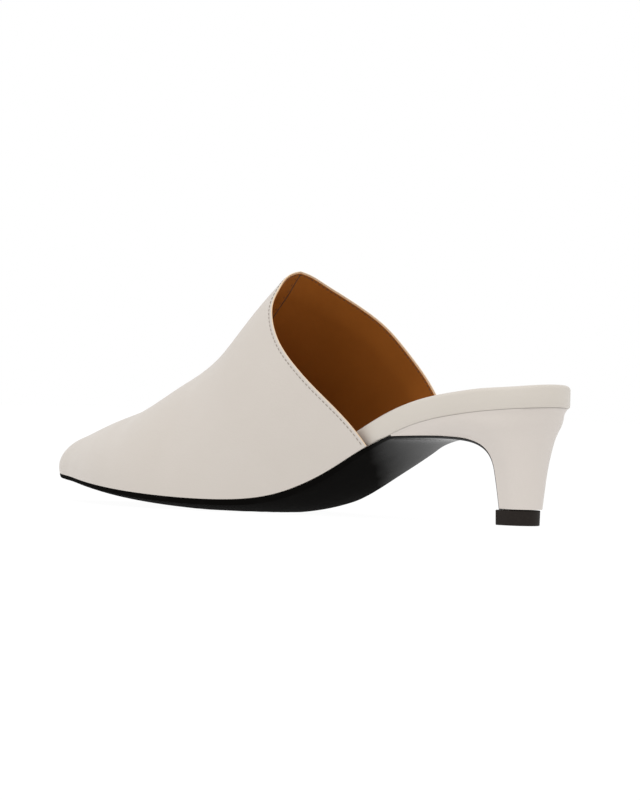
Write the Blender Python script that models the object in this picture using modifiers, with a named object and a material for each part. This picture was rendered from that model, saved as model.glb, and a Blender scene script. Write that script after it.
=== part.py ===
"""Kitten heel mule for the left foot, modelled standing empty at its real size.

+X runs from the heel to the toe, +Y to the outer side of the foot, and the floor is at Z = 0.
Every table holds shares of the named sizes, and smooth curves are read through its rows.
"""
import math
from collections import namedtuple

import bpy
import numpy as np

# Driving sizes in metres
LENGTH = 0.2484
BALL_WIDTH = 0.075
PEAK_HEIGHT = 0.0912
SEAT_LIFT = 0.0375
TREAD_HEIGHT = 0.0044
TOE_SPRING = 0.0061
TOE_SWING = 0.0020
CLEARANCE = 0.0003

# Upper
WALL = 0.0019
TOE_CAP = 0.015
HEEL_CAP = 0.025
HEEL_CAP_POWER = 2.2
TOE_FRONT = 0.016
TOE_FRONT_POWER = 2.8
NOSE_BULGE = 0.0004
NOSE_HEIGHT = 0.0105
NOSE_REACH = 0.022
WING_JOIN = 0.150
THROAT_POINT = 0.0016
THROAT_POINT_DROP = 0.008

# Insole and sock lining
RIM_THICKNESS = 0.0084
FOREPART_THICKNESS = 0.0034
THIN_FROM = 0.078
THIN_TO = 0.118
FOREPART_EASE = 0.0009
RIM_ROUND = 0.0022
RIM_FOOT_ROUND = 0.0008
SEAT_CUP = 0.0010
SOCK_RECESS = 0.0011
SOCK_THICKNESS = 0.0008
SOCK_INSET = 0.0030

# Sole, heel and top lift
SOLE_BEVEL = 0.0010
FLAP_THICKNESS = 0.0012
LIFT_HEIGHT = 0.0054
LIFT_LENGTH = 0.0122
LIFT_HALF_WIDTH = 0.0075
LIFT_BACK = 0.0091
LIFT_TAPER = 0.0001

# Plan of the last: half widths on each side of its axis
Plan = namedtuple("Plan", "at outer inner")
PLAN_TABLE = (
    Plan(0.000, 0.293, 0.285),
    Plan(0.101, 0.295, 0.287),
    Plan(0.201, 0.293, 0.267),
    Plan(0.282, 0.268, 0.219),
    Plan(0.342, 0.259, 0.199),
    Plan(0.423, 0.300, 0.232),
    Plan(0.523, 0.383, 0.332),
    Plan(0.624, 0.472, 0.436),
    Plan(0.705, 0.486, 0.460),
    Plan(0.785, 0.415, 0.417),
    Plan(0.866, 0.290, 0.293),
    Plan(0.946, 0.144, 0.161),
    Plan(1.000, 0.086, 0.100),
)

# Feather line: shares of the seat lift and of the toe spring, and the crown of the last's underside
Rise = namedtuple("Rise", "at lift spring dip")
RISE_TABLE = (
    Rise(0.000, 1.000, 0.000, 0.0000),
    Rise(0.101, 0.923, 0.000, 0.0000),
    Rise(0.181, 0.829, 0.000, 0.0000),
    Rise(0.242, 0.699, 0.000, 0.0000),
    Rise(0.302, 0.515, 0.000, 0.0002),
    Rise(0.362, 0.307, 0.000, 0.0008),
    Rise(0.443, 0.085, 0.000, 0.0017),
    Rise(0.543, 0.000, 0.000, 0.0023),
    Rise(0.644, 0.000, 0.098, 0.0026),
    Rise(0.725, 0.000, 0.295, 0.0029),
    Rise(0.825, 0.000, 0.567, 0.0025),
    Rise(0.926, 0.000, 0.852, 0.0012),
    Rise(1.000, 0.000, 1.000, 0.0002),
)

# Crest of the vamp, carried on behind the throat, and the power that rounds each section
Crest = namedtuple("Crest", "at height power")
CREST_TABLE = (
    Crest(0.242, 1.305, 2.19),
    Crest(0.362, 1.228, 2.18),
    Crest(0.443, 1.124, 2.17),
    Crest(0.500, 1.000, 2.15),
    Crest(0.531, 0.910, 2.10),
    Crest(0.564, 0.808, 2.05),
    Crest(0.596, 0.714, 2.00),
    Crest(0.624, 0.644, 1.97),
    Crest(0.684, 0.544, 1.96),
    Crest(0.765, 0.429, 2.00),
    Crest(0.845, 0.362, 2.10),
    Crest(0.926, 0.289, 2.25),
    Crest(1.000, 0.232, 2.40),
)

# How far each wall swells above the feather line, and the share of its height in which it does
Swell = namedtuple("Swell", "at outer inner roll")
SWELL_TABLE = (
    Swell(0.242, 0.019, 0.027, 0.40),
    Swell(0.382, 0.096, 0.173, 0.40),
    Swell(0.499, 0.075, 0.151, 0.38),
    Swell(0.604, 0.020, 0.065, 0.32),
    Swell(0.705, 0.015, 0.032, 0.28),
    Swell(0.845, 0.012, 0.015, 0.30),
    Swell(1.000, 0.009, 0.004, 0.50),
)

# Topline: its place along the shoe at each height, and how much further forward the outer side is
Topline = namedtuple("Topline", "height at cut")
TOPLINE_TABLE = (
    Topline(0.263, 0.2597, 0.0161),
    Topline(0.373, 0.2899, 0.0201),
    Topline(0.482, 0.3297, 0.0250),
    Topline(0.592, 0.3744, 0.0282),
    Topline(0.691, 0.4134, 0.0282),
    Topline(0.789, 0.4481, 0.0217),
    Topline(0.877, 0.4783, 0.0072),
    Topline(0.943, 0.4911, -0.0032),
    Topline(1.000, 0.4976, 0.0000),
)

# Sole: thickness at its edge, crown under it, and its reach past the last's plan
Sole = namedtuple("Sole", "at edge crown reach")
SOLE_TABLE = (
    Sole(0.221, 0.0020, 0.0002, -0.0008),
    Sole(0.258, 0.0026, 0.0003, 0.0000),
    Sole(0.302, 0.0028, 0.0004, 0.0020),
    Sole(0.362, 0.0028, 0.0005, 0.0022),
    Sole(0.463, 0.0025, 0.0006, 0.0021),
    Sole(0.543, 0.0020, 0.0008, 0.0021),
    Sole(0.644, 0.0019, 0.0011, 0.0021),
    Sole(0.725, 0.0017, 0.0013, 0.0021),
    Sole(0.825, 0.0015, 0.0014, 0.0021),
    Sole(0.926, 0.0014, 0.0007, 0.0021),
    Sole(1.000, 0.0014, 0.0002, 0.0022),
)

# Breast of the heel, from the lift up and out to the lip, with the heel's back at each step
Breast = namedtuple("Breast", "forward height half back_height back_half")
BREAST_TABLE = (
    Breast(0.0199, 0.0058, 0.0072, 0.0058, 0.0074),
    Breast(0.0204, 0.0122, 0.0080, 0.0123, 0.0083),
    Breast(0.0208, 0.0181, 0.0090, 0.0187, 0.0095),
    Breast(0.0213, 0.0230, 0.0103, 0.0248, 0.0112),
    Breast(0.0227, 0.0264, 0.0117, 0.0296, 0.0131),
    Breast(0.0253, 0.0287, 0.0131, 0.0328, 0.0149),
    Breast(0.0291, 0.0301, 0.0146, 0.0351, 0.0166),
    Breast(0.0340, 0.0307, 0.0162, 0.0367, 0.0181),
    Breast(0.0420, 0.0309, 0.0180, 0.0381, 0.0196),
    Breast(0.0500, 0.0307, 0.0193, 0.0391, 0.0206),
    Breast(0.0570, 0.0304, 0.0200, 0.0399, 0.0213),
)
BACK_LINE = ((0.0054, 0.0084), (0.0118, 0.0076), (0.0183, 0.0068), (0.0249, 0.0059),
             (0.0292, 0.0051), (0.0330, 0.0042), (0.0369, 0.0030), (0.0411, 0.0017))
RING_CAP_LOW = 0.64
RING_CAP_HIGH = 0.44

WHITE_LEATHER = ((0.70, 0.66, 0.62), 0.42)
TAN_LEATHER = ((0.32, 0.13, 0.04), 0.55)
SOLE_LEATHER = ((0.012, 0.011, 0.011), 0.30)
LIFT_RUBBER = ((0.025, 0.018, 0.015), 0.55)


def spline(places, values):
    """Natural cubic spline through the points, as a function of the place and of the derivative wanted."""
    xs = np.asarray(places, float)
    ys = np.asarray(values, float)
    steps = np.diff(xs)
    count = len(xs)
    matrix = np.eye(count)
    right = np.zeros(count)
    for i in range(1, count - 1):
        matrix[i, i - 1:i + 2] = steps[i - 1], 2 * (steps[i - 1] + steps[i]), steps[i]
        right[i] = 6 * ((ys[i + 1] - ys[i]) / steps[i] - (ys[i] - ys[i - 1]) / steps[i - 1])
    bend = np.linalg.solve(matrix, right)

    def curve(place, derivative=0):
        x = np.clip(np.asarray(place, float), xs[0], xs[-1])
        i = np.clip(np.searchsorted(xs, x, side="right") - 1, 0, count - 2)
        step = steps[i]
        ahead = xs[i + 1] - x
        past = x - xs[i]
        low = ys[i] / step - bend[i] * step / 6
        high = ys[i + 1] / step - bend[i + 1] * step / 6
        if derivative:
            return (bend[i + 1] * past ** 2 - bend[i] * ahead ** 2) / (2 * step) + high - low
        return (bend[i] * ahead ** 3 + bend[i + 1] * past ** 3) / (6 * step) + low * ahead + high * past

    return curve


def column(table, name, size=1.0, along=LENGTH):
    """One column of a table as a smooth curve along the shoe."""
    places = [getattr(row, table[0]._fields[0]) * along for row in table]
    return spline(places, [getattr(row, name) * size for row in table])


OUTER_HALF = column(PLAN_TABLE, "outer", BALL_WIDTH)
INNER_HALF = column(PLAN_TABLE, "inner", BALL_WIDTH)
LIFT_PART = column(RISE_TABLE, "lift", SEAT_LIFT)
SPRING_PART = column(RISE_TABLE, "spring", TOE_SPRING)
DIP = column(RISE_TABLE, "dip")
CREST = column(CREST_TABLE, "height", PEAK_HEIGHT)
POWER = column(CREST_TABLE, "power")
OUTER_SWELL = column(SWELL_TABLE, "outer", BALL_WIDTH)
INNER_SWELL = column(SWELL_TABLE, "inner", BALL_WIDTH)
ROLL = column(SWELL_TABLE, "roll")
TOPLINE_AT = column(TOPLINE_TABLE, "at", LENGTH, PEAK_HEIGHT)
TOPLINE_CUT = column(TOPLINE_TABLE, "cut", LENGTH, PEAK_HEIGHT)
SOLE_EDGE = column(SOLE_TABLE, "edge")
SOLE_CROWN = column(SOLE_TABLE, "crown")
SOLE_REACH = column(SOLE_TABLE, "reach")
BACK_AT = spline([height for height, _ in BACK_LINE], [at for _, at in BACK_LINE])


def ease(t):
    """Smooth step from 0 to 1."""
    t = np.clip(t, 0.0, 1.0)
    return t * t * (3 - 2 * t)


def feather(x):
    """Height of the feather line, where the upper meets the sole."""
    return TREAD_HEIGHT + LIFT_PART(x) + SPRING_PART(x)


def axis(x):
    """The last's axis swings toward the outer side at the toe."""
    return TOE_SWING * (np.asarray(x) / LENGTH) ** 2


def half_width(x, side, grow):
    """Half width of the last's plan, grown outward, closing round at both ends."""
    body = OUTER_HALF if side > 0 else INNER_HALF
    last_length = LENGTH - WALL - CLEARANCE
    tip = last_length + grow
    toe = np.clip((x - tip + TOE_CAP) / TOE_CAP, 0, 1)
    heel = np.clip((HEEL_CAP - x) / (HEEL_CAP + grow), 0, 1)
    closing = np.sqrt(1 - toe ** 2) * np.sqrt(1 - heel ** HEEL_CAP_POWER)
    return (body(x) + grow * np.sqrt(1 + body(x, 1) ** 2)) * closing


def dip(x, y):
    """How far the last's underside hangs below its feather line."""
    side = np.where(y > axis(x), 1, -1)
    outer = np.maximum(half_width(x, 1, 0.0), 0.004)
    inner = np.maximum(half_width(x, -1, 0.0), 0.004)
    share = np.clip((y - axis(x)) / np.where(side > 0, outer, inner), -1, 1)
    return DIP(x) * (1 - share ** 2)


def upper_height(x):
    """Height of the crest above the feather line, closing at the toe."""
    share = np.clip((x - LENGTH + TOE_FRONT) / TOE_FRONT, 0, 1)
    closing = (1 - share ** TOE_FRONT_POWER) ** (1 / TOE_FRONT_POWER)
    return (CREST(x) - feather(x)) * closing


def upper_section(x, side, shares, samples=81):
    """Points of one side of the section at x, from the crest (share 0) down to the feather (share 1)."""
    angle = np.linspace(0, math.pi / 2, samples)
    power = float(POWER(x))
    up = np.cos(angle) ** (2 / power)
    roll = float(ROLL(x))
    swell = (OUTER_SWELL if side > 0 else INNER_SWELL)(x)
    toe = np.clip((x - LENGTH + TOE_CAP) / TOE_CAP, 0, 1)
    swelling = np.where(up < roll, 1 - (1 - up / roll) ** 2, 1.0)
    base = half_width(x, side, WALL + CLEARANCE)
    across = (base + swell * math.sqrt(1 - toe ** 2) * swelling) * np.sqrt(np.maximum(1 - up ** power, 0))
    above = float(upper_height(x)) * up
    nose = NOSE_BULGE * ease((x - LENGTH + NOSE_REACH) / NOSE_REACH)
    ahead = nose * np.sin(math.pi * np.clip(above / NOSE_HEIGHT, 0, 1))
    points = np.stack([x + ahead, axis(x) + side * across, feather(x) + CLEARANCE + above], axis=1)
    run = np.concatenate([[0], np.cumsum(np.hypot(np.diff(points[:, 1]), np.diff(points[:, 2])))])
    if run[-1] < 1e-9:
        return np.repeat(points[:1], len(shares), axis=0)
    run /= run[-1]
    return np.stack([np.interp(shares, run, points[:, k]) for k in range(3)], axis=1)


def topline_at(height, side):
    """Where the topline is along the shoe at a given height."""
    lowest = TOPLINE_TABLE[0].height * PEAK_HEIGHT
    below = np.minimum(height - lowest, 0)
    drop = np.clip((PEAK_HEIGHT - height) / THROAT_POINT_DROP, 0, 1)
    point = THROAT_POINT * (1 - np.sqrt(drop))
    return TOPLINE_AT(height) + side * TOPLINE_CUT(height) + point + below


def upper_side(side, shares, wing_rows, vamp_rows, toe_rows):
    """Grid of one side of the upper: rows follow the topline, then straighten toward the toe."""
    toe = LENGTH - TOE_CAP
    turns = np.linspace(0, math.pi / 2, 25)
    places = np.concatenate([np.arange(0.054, toe, 0.0015), toe + TOE_CAP * np.sin(turns)])
    net = np.stack([upper_section(x, side, shares) for x in places])
    turns = np.linspace(0, math.pi / 2, toe_rows + 1)[1:]
    common = np.concatenate([np.linspace(WING_JOIN, toe, vamp_rows + 1)[1:], toe + TOE_CAP * np.sin(turns)])
    grid = np.zeros((wing_rows + 1 + len(common), len(shares), 3))
    for j in range(len(shares)):
        line = net[:, j]
        past = places - topline_at(line[:, 2], side)
        crossings = np.nonzero((past[:-1] < 0) & (past[1:] >= 0) & (places[:-1] < 0.13))[0]
        i = crossings[-1] if len(crossings) else 0
        start = places[i] - past[i] * (places[i + 1] - places[i]) / (past[i + 1] - past[i])
        xs = np.concatenate([np.linspace(start, WING_JOIN, wing_rows + 1), common])
        for k in range(3):
            grid[:, j, k] = np.interp(xs, places, line[:, k])
    return grid


def upper_surface(side_columns=15, wing_rows=15, vamp_rows=15, toe_rows=8):
    """Outer face of the upper as one open grid from the inner feather over the crest to the outer one."""
    shares = np.linspace(0, 1, side_columns + 1)
    inner = upper_side(-1, shares, wing_rows, vamp_rows, toe_rows)
    outer = upper_side(1, shares, wing_rows, vamp_rows, toe_rows)
    ridge = (inner[:, :1] + outer[:, :1]) / 2
    return np.concatenate([inner[:, :0:-1], ridge, outer[:, 1:]], axis=1)


def plan_loop(ends, grow, body_rows=30, end_rows=8):
    """Outer and inner edge of the last's plan, grown outward by a function of x; ends says how far at each end."""
    heel_end, toe_end = ends
    turns = np.linspace(math.pi / 2, 0, end_rows + 1)
    heel = HEEL_CAP - (HEEL_CAP + heel_end) * np.sin(turns)
    tip = LENGTH - WALL - CLEARANCE + toe_end
    toe = tip - TOE_CAP + TOE_CAP * np.sin(turns[::-1])
    body = np.linspace(HEEL_CAP, tip - TOE_CAP, body_rows + 2)[1:-1]
    xs = np.concatenate([heel, body, toe])
    outer = np.zeros((len(xs), 2))
    inner = np.zeros((len(xs), 2))
    for i, x in enumerate(xs):
        outer[i] = x, axis(x) + half_width(x, 1, grow(x))
        inner[i] = x, axis(x) - half_width(x, -1, grow(x))
    outer[0, 1] = inner[0, 1] = axis(xs[0])
    outer[-1, 1] = inner[-1, 1] = axis(xs[-1])
    return outer, inner


def grid_faces(rows, columns):
    """Quads of a grid of points numbered row by row."""
    faces = []
    for i in range(rows - 1):
        for j in range(columns - 1):
            a = i * columns + j
            faces.append((a, a + columns, a + columns + 1, a + 1))
    return faces


def slab(levels, low, high, columns=5):
    """Closed pad from plan loops: each level is (loop, height function); low and high fill its two faces."""
    points = []
    faces = []
    rings = []
    for (outer, inner), height in levels:
        loop = np.concatenate([outer, inner[-2:0:-1]])
        start = len(points)
        points.extend((x, y, float(height(x, y))) for x, y in loop)
        rings.append(np.arange(start, len(points)))
    for lower, upper in zip(rings, rings[1:]):
        around = len(lower)
        for i in range(around):
            j = (i + 1) % around
            faces.append((lower[j], lower[i], upper[i], upper[j]))
    for ring, height, is_top in ((rings[0], low, False), (rings[-1], high, True)):
        count = len(ring) // 2 + 1
        rows = []
        for i in range(count):
            if i in (0, count - 1):
                rows.append([ring[i]] * (columns + 2))
                continue
            outer = ring[i]
            inner = ring[-i]
            row = [outer]
            for k in range(1, columns + 1):
                share = k / (columns + 1)
                x, y = ((1 - share) * np.array(points[outer]) + share * np.array(points[inner]))[:2]
                points.append((x, y, float(height(x, y))))
                row.append(len(points) - 1)
            row.append(inner)
            rows.append(row)
        for a, b in zip(rows, rows[1:]):
            for k in range(columns + 1):
                quad = [b[k], b[k + 1], a[k + 1], a[k]]
                face = [v for n, v in enumerate(quad) if v not in quad[:n]]
                if len(face) > 2:
                    faces.append(tuple(face[::-1] if is_top else face))
    return points, faces


def tilt(x):
    """Stretch that keeps a pad's thickness square to the sloping feather line."""
    slope = LIFT_PART(x, 1) + SPRING_PART(x, 1)
    return np.sqrt(1 + slope ** 2)


def insole_thickness(x):
    thin = ease((x - THIN_FROM) / (THIN_TO - THIN_FROM))
    return (RIM_THICKNESS + (FOREPART_THICKNESS - RIM_THICKNESS) * thin) * tilt(x)


def insole_bottom(x, y):
    return feather(x) + CLEARANCE - dip(x, y)


def insole_top(x, y):
    share = np.clip((y - axis(x)) / 0.020, -1, 1)
    cup = SEAT_CUP * (1 - share ** 2) * (1 - ease((x - 0.03) / 0.05)) * ease(x / 0.015)
    return feather(x) + insole_thickness(x) - cup - dip(x, y)


def insole_floor(x, y):
    """Shallow recess inside the rim, for the sock lining."""
    return insole_top(x, y) - SOCK_RECESS


def insole_ease(x):
    return -FOREPART_EASE * ease((x - THIN_FROM) / 0.03)


def pad_loop(inset):
    """Plan loop of the insole, drawn in by an inset."""
    return plan_loop((-inset, -inset - FOREPART_EASE), lambda x: insole_ease(x) - inset)


def insole():
    """Padded footbed with a wrapped, rounded rim."""
    levels = []
    for turn in (1.0, 0.45, 0.0):
        inset = RIM_FOOT_ROUND * turn
        up = RIM_FOOT_ROUND * (1 - turn) ** 1.5
        levels.append((pad_loop(inset), lambda x, y, up=up: insole_bottom(x, y) + up))
    for degrees in (0, 30, 60, 90):
        turn = math.radians(degrees)
        inset = RIM_ROUND * (1 - math.cos(turn))
        down = RIM_ROUND * (1 - math.sin(turn))

        def height(x, y, down=down):
            scale = np.clip(insole_thickness(x) / RIM_THICKNESS, 0, 1)
            return insole_top(x, y) - down * scale

        levels.append((pad_loop(inset), height))
    levels.append((pad_loop(SOCK_INSET - CLEARANCE), insole_floor))
    return slab(levels, insole_bottom, insole_floor)


def sock_lining():
    """Thin leather sheet over the footbed, inside its rim."""

    def low(x, y):
        return insole_floor(x, y) + CLEARANCE

    def high(x, y):
        return low(x, y) + SOCK_THICKNESS

    edge = SOCK_INSET
    levels = [
        (pad_loop(edge), low),
        (pad_loop(edge), lambda x, y: high(x, y) - 0.0003),
        (pad_loop(edge + 0.0003), high),
    ]
    return slab(levels, low, high)


def sole_path():
    """Stations of the sole from the toe to the foot of the flap: place, height, half widths, edge and crown."""
    stations = []
    tip = LENGTH - WALL - CLEARANCE + float(SOLE_REACH(LENGTH))
    turns = np.linspace(math.pi / 2, 0, 8)
    xs = np.concatenate([tip - TOE_CAP + TOE_CAP * np.sin(turns), np.arange(0.228, 0.0715, -0.0060), [0.066]])
    for x in xs:
        reach = float(SOLE_REACH(x))
        stations.append((x, float(feather(x)), half_width(x, 1, reach), half_width(x, -1, reach),
                         float(SOLE_EDGE(x)), float(SOLE_CROWN(x)), axis(x)))
    rows = BREAST_TABLE[::-1]
    for i, row in enumerate(rows):
        share = i / (len(rows) - 1)
        thin = ease(share * 3)
        edge = 0.0020 + (FLAP_THICKNESS - 0.0020) * thin
        stations.append((row.forward, row.height - CLEARANCE, row.half, row.half, edge, 0.0002, axis(row.forward)))
    return stations


def sole():
    """One strip from the toe through the waist, under the heel's lip and down its breast."""
    stations = sole_path()
    across = np.linspace(-1, 1, 11)
    centre = np.array([(s[0], s[1]) for s in stations])
    heading = np.gradient(centre, axis=0)
    heading /= np.linalg.norm(heading, axis=1)[:, None]
    square = np.stack([-heading[:, 1], heading[:, 0]], axis=1)
    square[:8] = 0.0, -1.0
    points = []
    rings = []
    for (x, z, outer, inner, edge, crown, middle), (down_x, down_z) in zip(stations, square):
        ring = []
        fade = min(1.0, (outer + inner) / 0.012)
        dipping = float(DIP(x)) * fade if x > 0.066 else 0.0
        crown *= fade
        for share in across:
            y = middle + (outer if share > 0 else inner) * share
            top = z - dipping * (1 - share ** 2)
            ring.append((x, y, top))
        bevel = min(SOLE_BEVEL, 0.3 * (outer + inner))
        for share in across[::-1]:
            width = max((outer if share > 0 else inner) - bevel * 0.5, 0.0)
            y = middle + width * share
            depth = edge + crown * (1 - share ** 2)
            top = z - dipping * (1 - share ** 2)
            ring.append((x + down_x * depth, y, max(top + down_z * depth, 0.0)))
        rings.append(range(len(points), len(points) + len(ring)))
        points.extend(ring)
    faces = []
    for a, b in zip(rings, rings[1:]):
        for i in range(len(a)):
            j = (i + 1) % len(a)
            faces.append((a[i], a[j], b[j], b[i]))
    columns = len(across)
    for ring, flip in ((rings[0], False), (rings[-1], True)):
        for i in range(columns - 1):
            quad = (ring[i], ring[2 * columns - 1 - i], ring[2 * columns - 2 - i], ring[i + 1])
            faces.append(quad[::-1] if flip else quad)
    return points, faces


def heel_rings(front_columns, side_columns):
    """Rings of the heel from the lift to the seat, each with a straight front and a round back."""
    top = BREAST_TABLE[-1]
    rings = []
    spread = np.linspace(0, math.pi / 2, side_columns + 1)
    along = 1 - np.sin(spread)
    seat_back = 0.0008
    for row in list(BREAST_TABLE) + [None]:
        is_seat = row is None
        row = row or top
        back_height = float(feather(seat_back)) if is_seat else row.back_height
        share = (back_height - BREAST_TABLE[0].back_height) / (feather(seat_back) - BREAST_TABLE[0].back_height)
        cap = RING_CAP_LOW + (RING_CAP_HIGH - RING_CAP_LOW) * share
        back = seat_back if is_seat else float(BACK_AT(back_height))
        front_height = float(feather(row.forward)) if is_seat else row.height
        ring = []
        for side in (1, -1):
            edge = []
            for part in 1 - along:
                place = 1 - part
                x = back + (row.forward - back) * place
                if is_seat:
                    y = half_width(x, side, -0.0004) if x > HEEL_CAP else None
                    if y is None:
                        turn = np.clip((HEEL_CAP - x) / (HEEL_CAP - seat_back), 0, 1)
                        y = half_width(HEEL_CAP, side, -0.0004) * math.sqrt(1 - turn ** HEEL_CAP_POWER)
                    z = float(feather(x))
                else:
                    width = row.half + (row.back_half - row.half) * ease((1 - place) * 2.2)
                    turn = np.clip((cap - place) / cap, 0, 1)
                    y = width * math.sqrt(1 - turn ** (2 + 0.2 * share))
                    chord = back_height + (front_height - back_height) * place
                    arch = share ** 2 * 0.9 * (feather(x) - feather(seat_back) - (feather(row.forward)
                                               - feather(seat_back)) * place)
                    z = float(chord + arch)
                edge.append((x, axis(x) + side * y, z))
            ring.append(edge)
        outer, inner = ring
        straight = [tuple(np.array(outer[0]) + (np.array(inner[0]) - np.array(outer[0])) * k / front_columns)
                    for k in range(1, front_columns)]
        rings.append(outer[::-1] + straight + inner[:-1])
    return rings


def heel(front_columns=5, side_columns=13):
    """Covered heel: its breast follows the flap and its top follows the underside of the insole."""
    rings = heel_rings(front_columns, side_columns)
    points = [point for ring in rings for point in ring]
    around = len(rings[0])
    faces = []
    for i in range(len(rings) - 1):
        for j in range(around):
            a = i * around + j
            b = i * around + (j + 1) % around
            faces.append((b, a, a + around, b + around))
    for start, is_top in ((0, False), ((len(rings) - 1) * around, True)):
        cap_faces(points, faces, start, side_columns, front_columns, is_top)
    return points, faces


def cap_faces(points, faces, start, side_columns, front_columns, is_top):
    """Fill a ring that begins at its back point, in strips across it up to its straight front."""
    around = 2 * side_columns + front_columns
    rows = [[start] * (front_columns + 1)]
    for i in range(1, side_columns):
        outer = start + i
        inner = start + around - i
        row = [outer]
        for k in range(1, front_columns):
            share = k / front_columns
            x, y, z = (1 - share) * np.array(points[outer]) + share * np.array(points[inner])
            points.append((x, y, z))
            row.append(len(points) - 1)
        row.append(inner)
        rows.append(row)
    rows.append([start + side_columns + k for k in range(front_columns + 1)])
    for a, b in zip(rows, rows[1:]):
        for k in range(front_columns):
            quad = [a[k], a[k + 1], b[k + 1], b[k]]
            face = [v for n, v in enumerate(quad) if v not in quad[:n]]
            if len(face) > 2:
                faces.append(tuple(face if is_top else face[::-1]))


def top_lift(side_columns=12, front_columns=4):
    """D-shaped lift with a flat front and a round back."""
    rings = []
    for height, grow in ((0.0, -LIFT_TAPER - 0.0003), (0.0003, -LIFT_TAPER), (LIFT_HEIGHT, 0.0)):
        edges = []
        for side in (1, -1):
            edge = []
            for turn in np.linspace(0, math.pi / 2, side_columns + 1):
                place = 1 - math.sin(turn)
                cap = RING_CAP_LOW
                bend = np.clip((cap - place) / cap, 0, 1)
                x = LIFT_BACK - grow + (LIFT_LENGTH + grow) * place
                y = (LIFT_HALF_WIDTH + grow) * math.sqrt(1 - bend ** 2)
                edge.append((x, axis(x) + side * y, height))
            edges.append(edge)
        outer, inner = edges
        straight = [tuple(np.array(outer[0]) + (np.array(inner[0]) - np.array(outer[0])) * k / front_columns)
                    for k in range(1, front_columns)]
        rings.append(outer[::-1] + straight + inner[:-1])
    points = [point for ring in rings for point in ring]
    around = len(rings[0])
    faces = []
    for i in range(len(rings) - 1):
        for j in range(around):
            a = i * around + j
            b = i * around + (j + 1) % around
            faces.append((b, a, a + around, b + around))
    for start, is_top in ((0, False), ((len(rings) - 1) * around, True)):
        cap_faces(points, faces, start, side_columns, front_columns, is_top)
    return points, faces


def material(name, look):
    """Principled material of one colour and roughness."""
    (red, green, blue), roughness = look
    made = bpy.data.materials.new(name)
    made.use_nodes = True
    shader = made.node_tree.nodes["Principled BSDF"]
    shader.inputs["Base Color"].default_value = (red, green, blue, 1.0)
    shader.inputs["Roughness"].default_value = roughness
    made.diffuse_color = (red, green, blue, 1.0)
    return made


def add_piece(name, points, faces, look, parent, collection):
    """Mesh object with welded points, smooth except at sharp edges."""
    mesh = bpy.data.meshes.new(name)
    mesh.from_pydata([tuple(map(float, p)) for p in points], [], [tuple(map(int, f)) for f in faces])
    mesh.validate()
    mesh.materials.append(look)
    mesh.shade_smooth()
    mesh.set_sharp_from_angle(angle=math.radians(40))
    piece = bpy.data.objects.new(name, mesh)
    collection.objects.link(piece)
    piece.parent = parent
    return piece


def welded(points, faces, distance=2e-6):
    """Merge points that coincide and drop the faces that collapse."""
    keys = {}
    order = []
    kept = []
    for point in points:
        key = tuple(int(round(value / distance)) for value in point)
        if key not in keys:
            keys[key] = len(kept)
            kept.append(point)
        order.append(keys[key])
    clean = []
    for face in faces:
        loop = []
        for vertex in face:
            index = order[vertex]
            if index not in loop:
                loop.append(index)
        if len(loop) > 2:
            clean.append(tuple(loop))
    return kept, clean


def main():
    for old in list(bpy.data.objects):
        bpy.data.objects.remove(old, do_unlink=True)
    collection = bpy.data.collections.new("kitten_heel_mule")
    bpy.context.scene.collection.children.link(collection)
    shoe = bpy.data.objects.new("shoe", None)
    collection.objects.link(shoe)

    grid = upper_surface()
    rows, columns = grid.shape[:2]
    upper_points = [tuple(point) for point in grid.reshape(-1, 3)]
    pieces = {
        "upper": (upper_points, grid_faces(rows, columns), WHITE_LEATHER),
        "insole": (*insole(), WHITE_LEATHER),
        "sock_lining": (*sock_lining(), TAN_LEATHER),
        "outsole": (*sole(), SOLE_LEATHER),
        "heel": (*heel(), WHITE_LEATHER),
        "top_lift": (*top_lift(), LIFT_RUBBER),
    }

    # The origin is below the middle of the whole shoe, on the floor
    everything = np.concatenate([np.array(points) for points, _, _ in pieces.values()])
    low = everything.min(axis=0)
    high = everything.max(axis=0)
    shift = np.array([(low[0] + high[0]) / 2, (low[1] + high[1]) / 2, 0.0])

    for name, (points, faces, look) in pieces.items():
        moved = [tuple(np.array(point) - shift) for point in points]
        moved, faces = welded(moved, faces)
        piece = add_piece(name, moved, faces, material(name, look), shoe, collection)
        if name == "upper":
            shell = piece.modifiers.new("wall", "SOLIDIFY")
            shell.thickness = WALL
            shell.offset = -1.0
            shell.use_even_offset = True
            shell.use_rim = True


if __name__ == "__main__":
    main()
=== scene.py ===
"""Looks of a kitten heel mule for the left foot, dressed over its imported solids.

The shoe stands with its toe toward +X, its outer side toward +Y and the floor at Z = 0. Its shapes are worked
out from named sizes and tables of shares in the way of the solids, in metres from the back of the footbed, and
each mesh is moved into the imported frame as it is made. The throat's point, the heel's back and lip and the edge
of the sole are drawn finer here than in the solids.
"""
from __future__ import annotations

import logging
import math
from dataclasses import dataclass, field
from enum import Enum
from typing import Callable, Iterable, NamedTuple, Optional, Sequence, Union

import bpy
import numpy as np
from mathutils import Matrix, Vector
from mathutils.bvhtree import BVHTree


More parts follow.
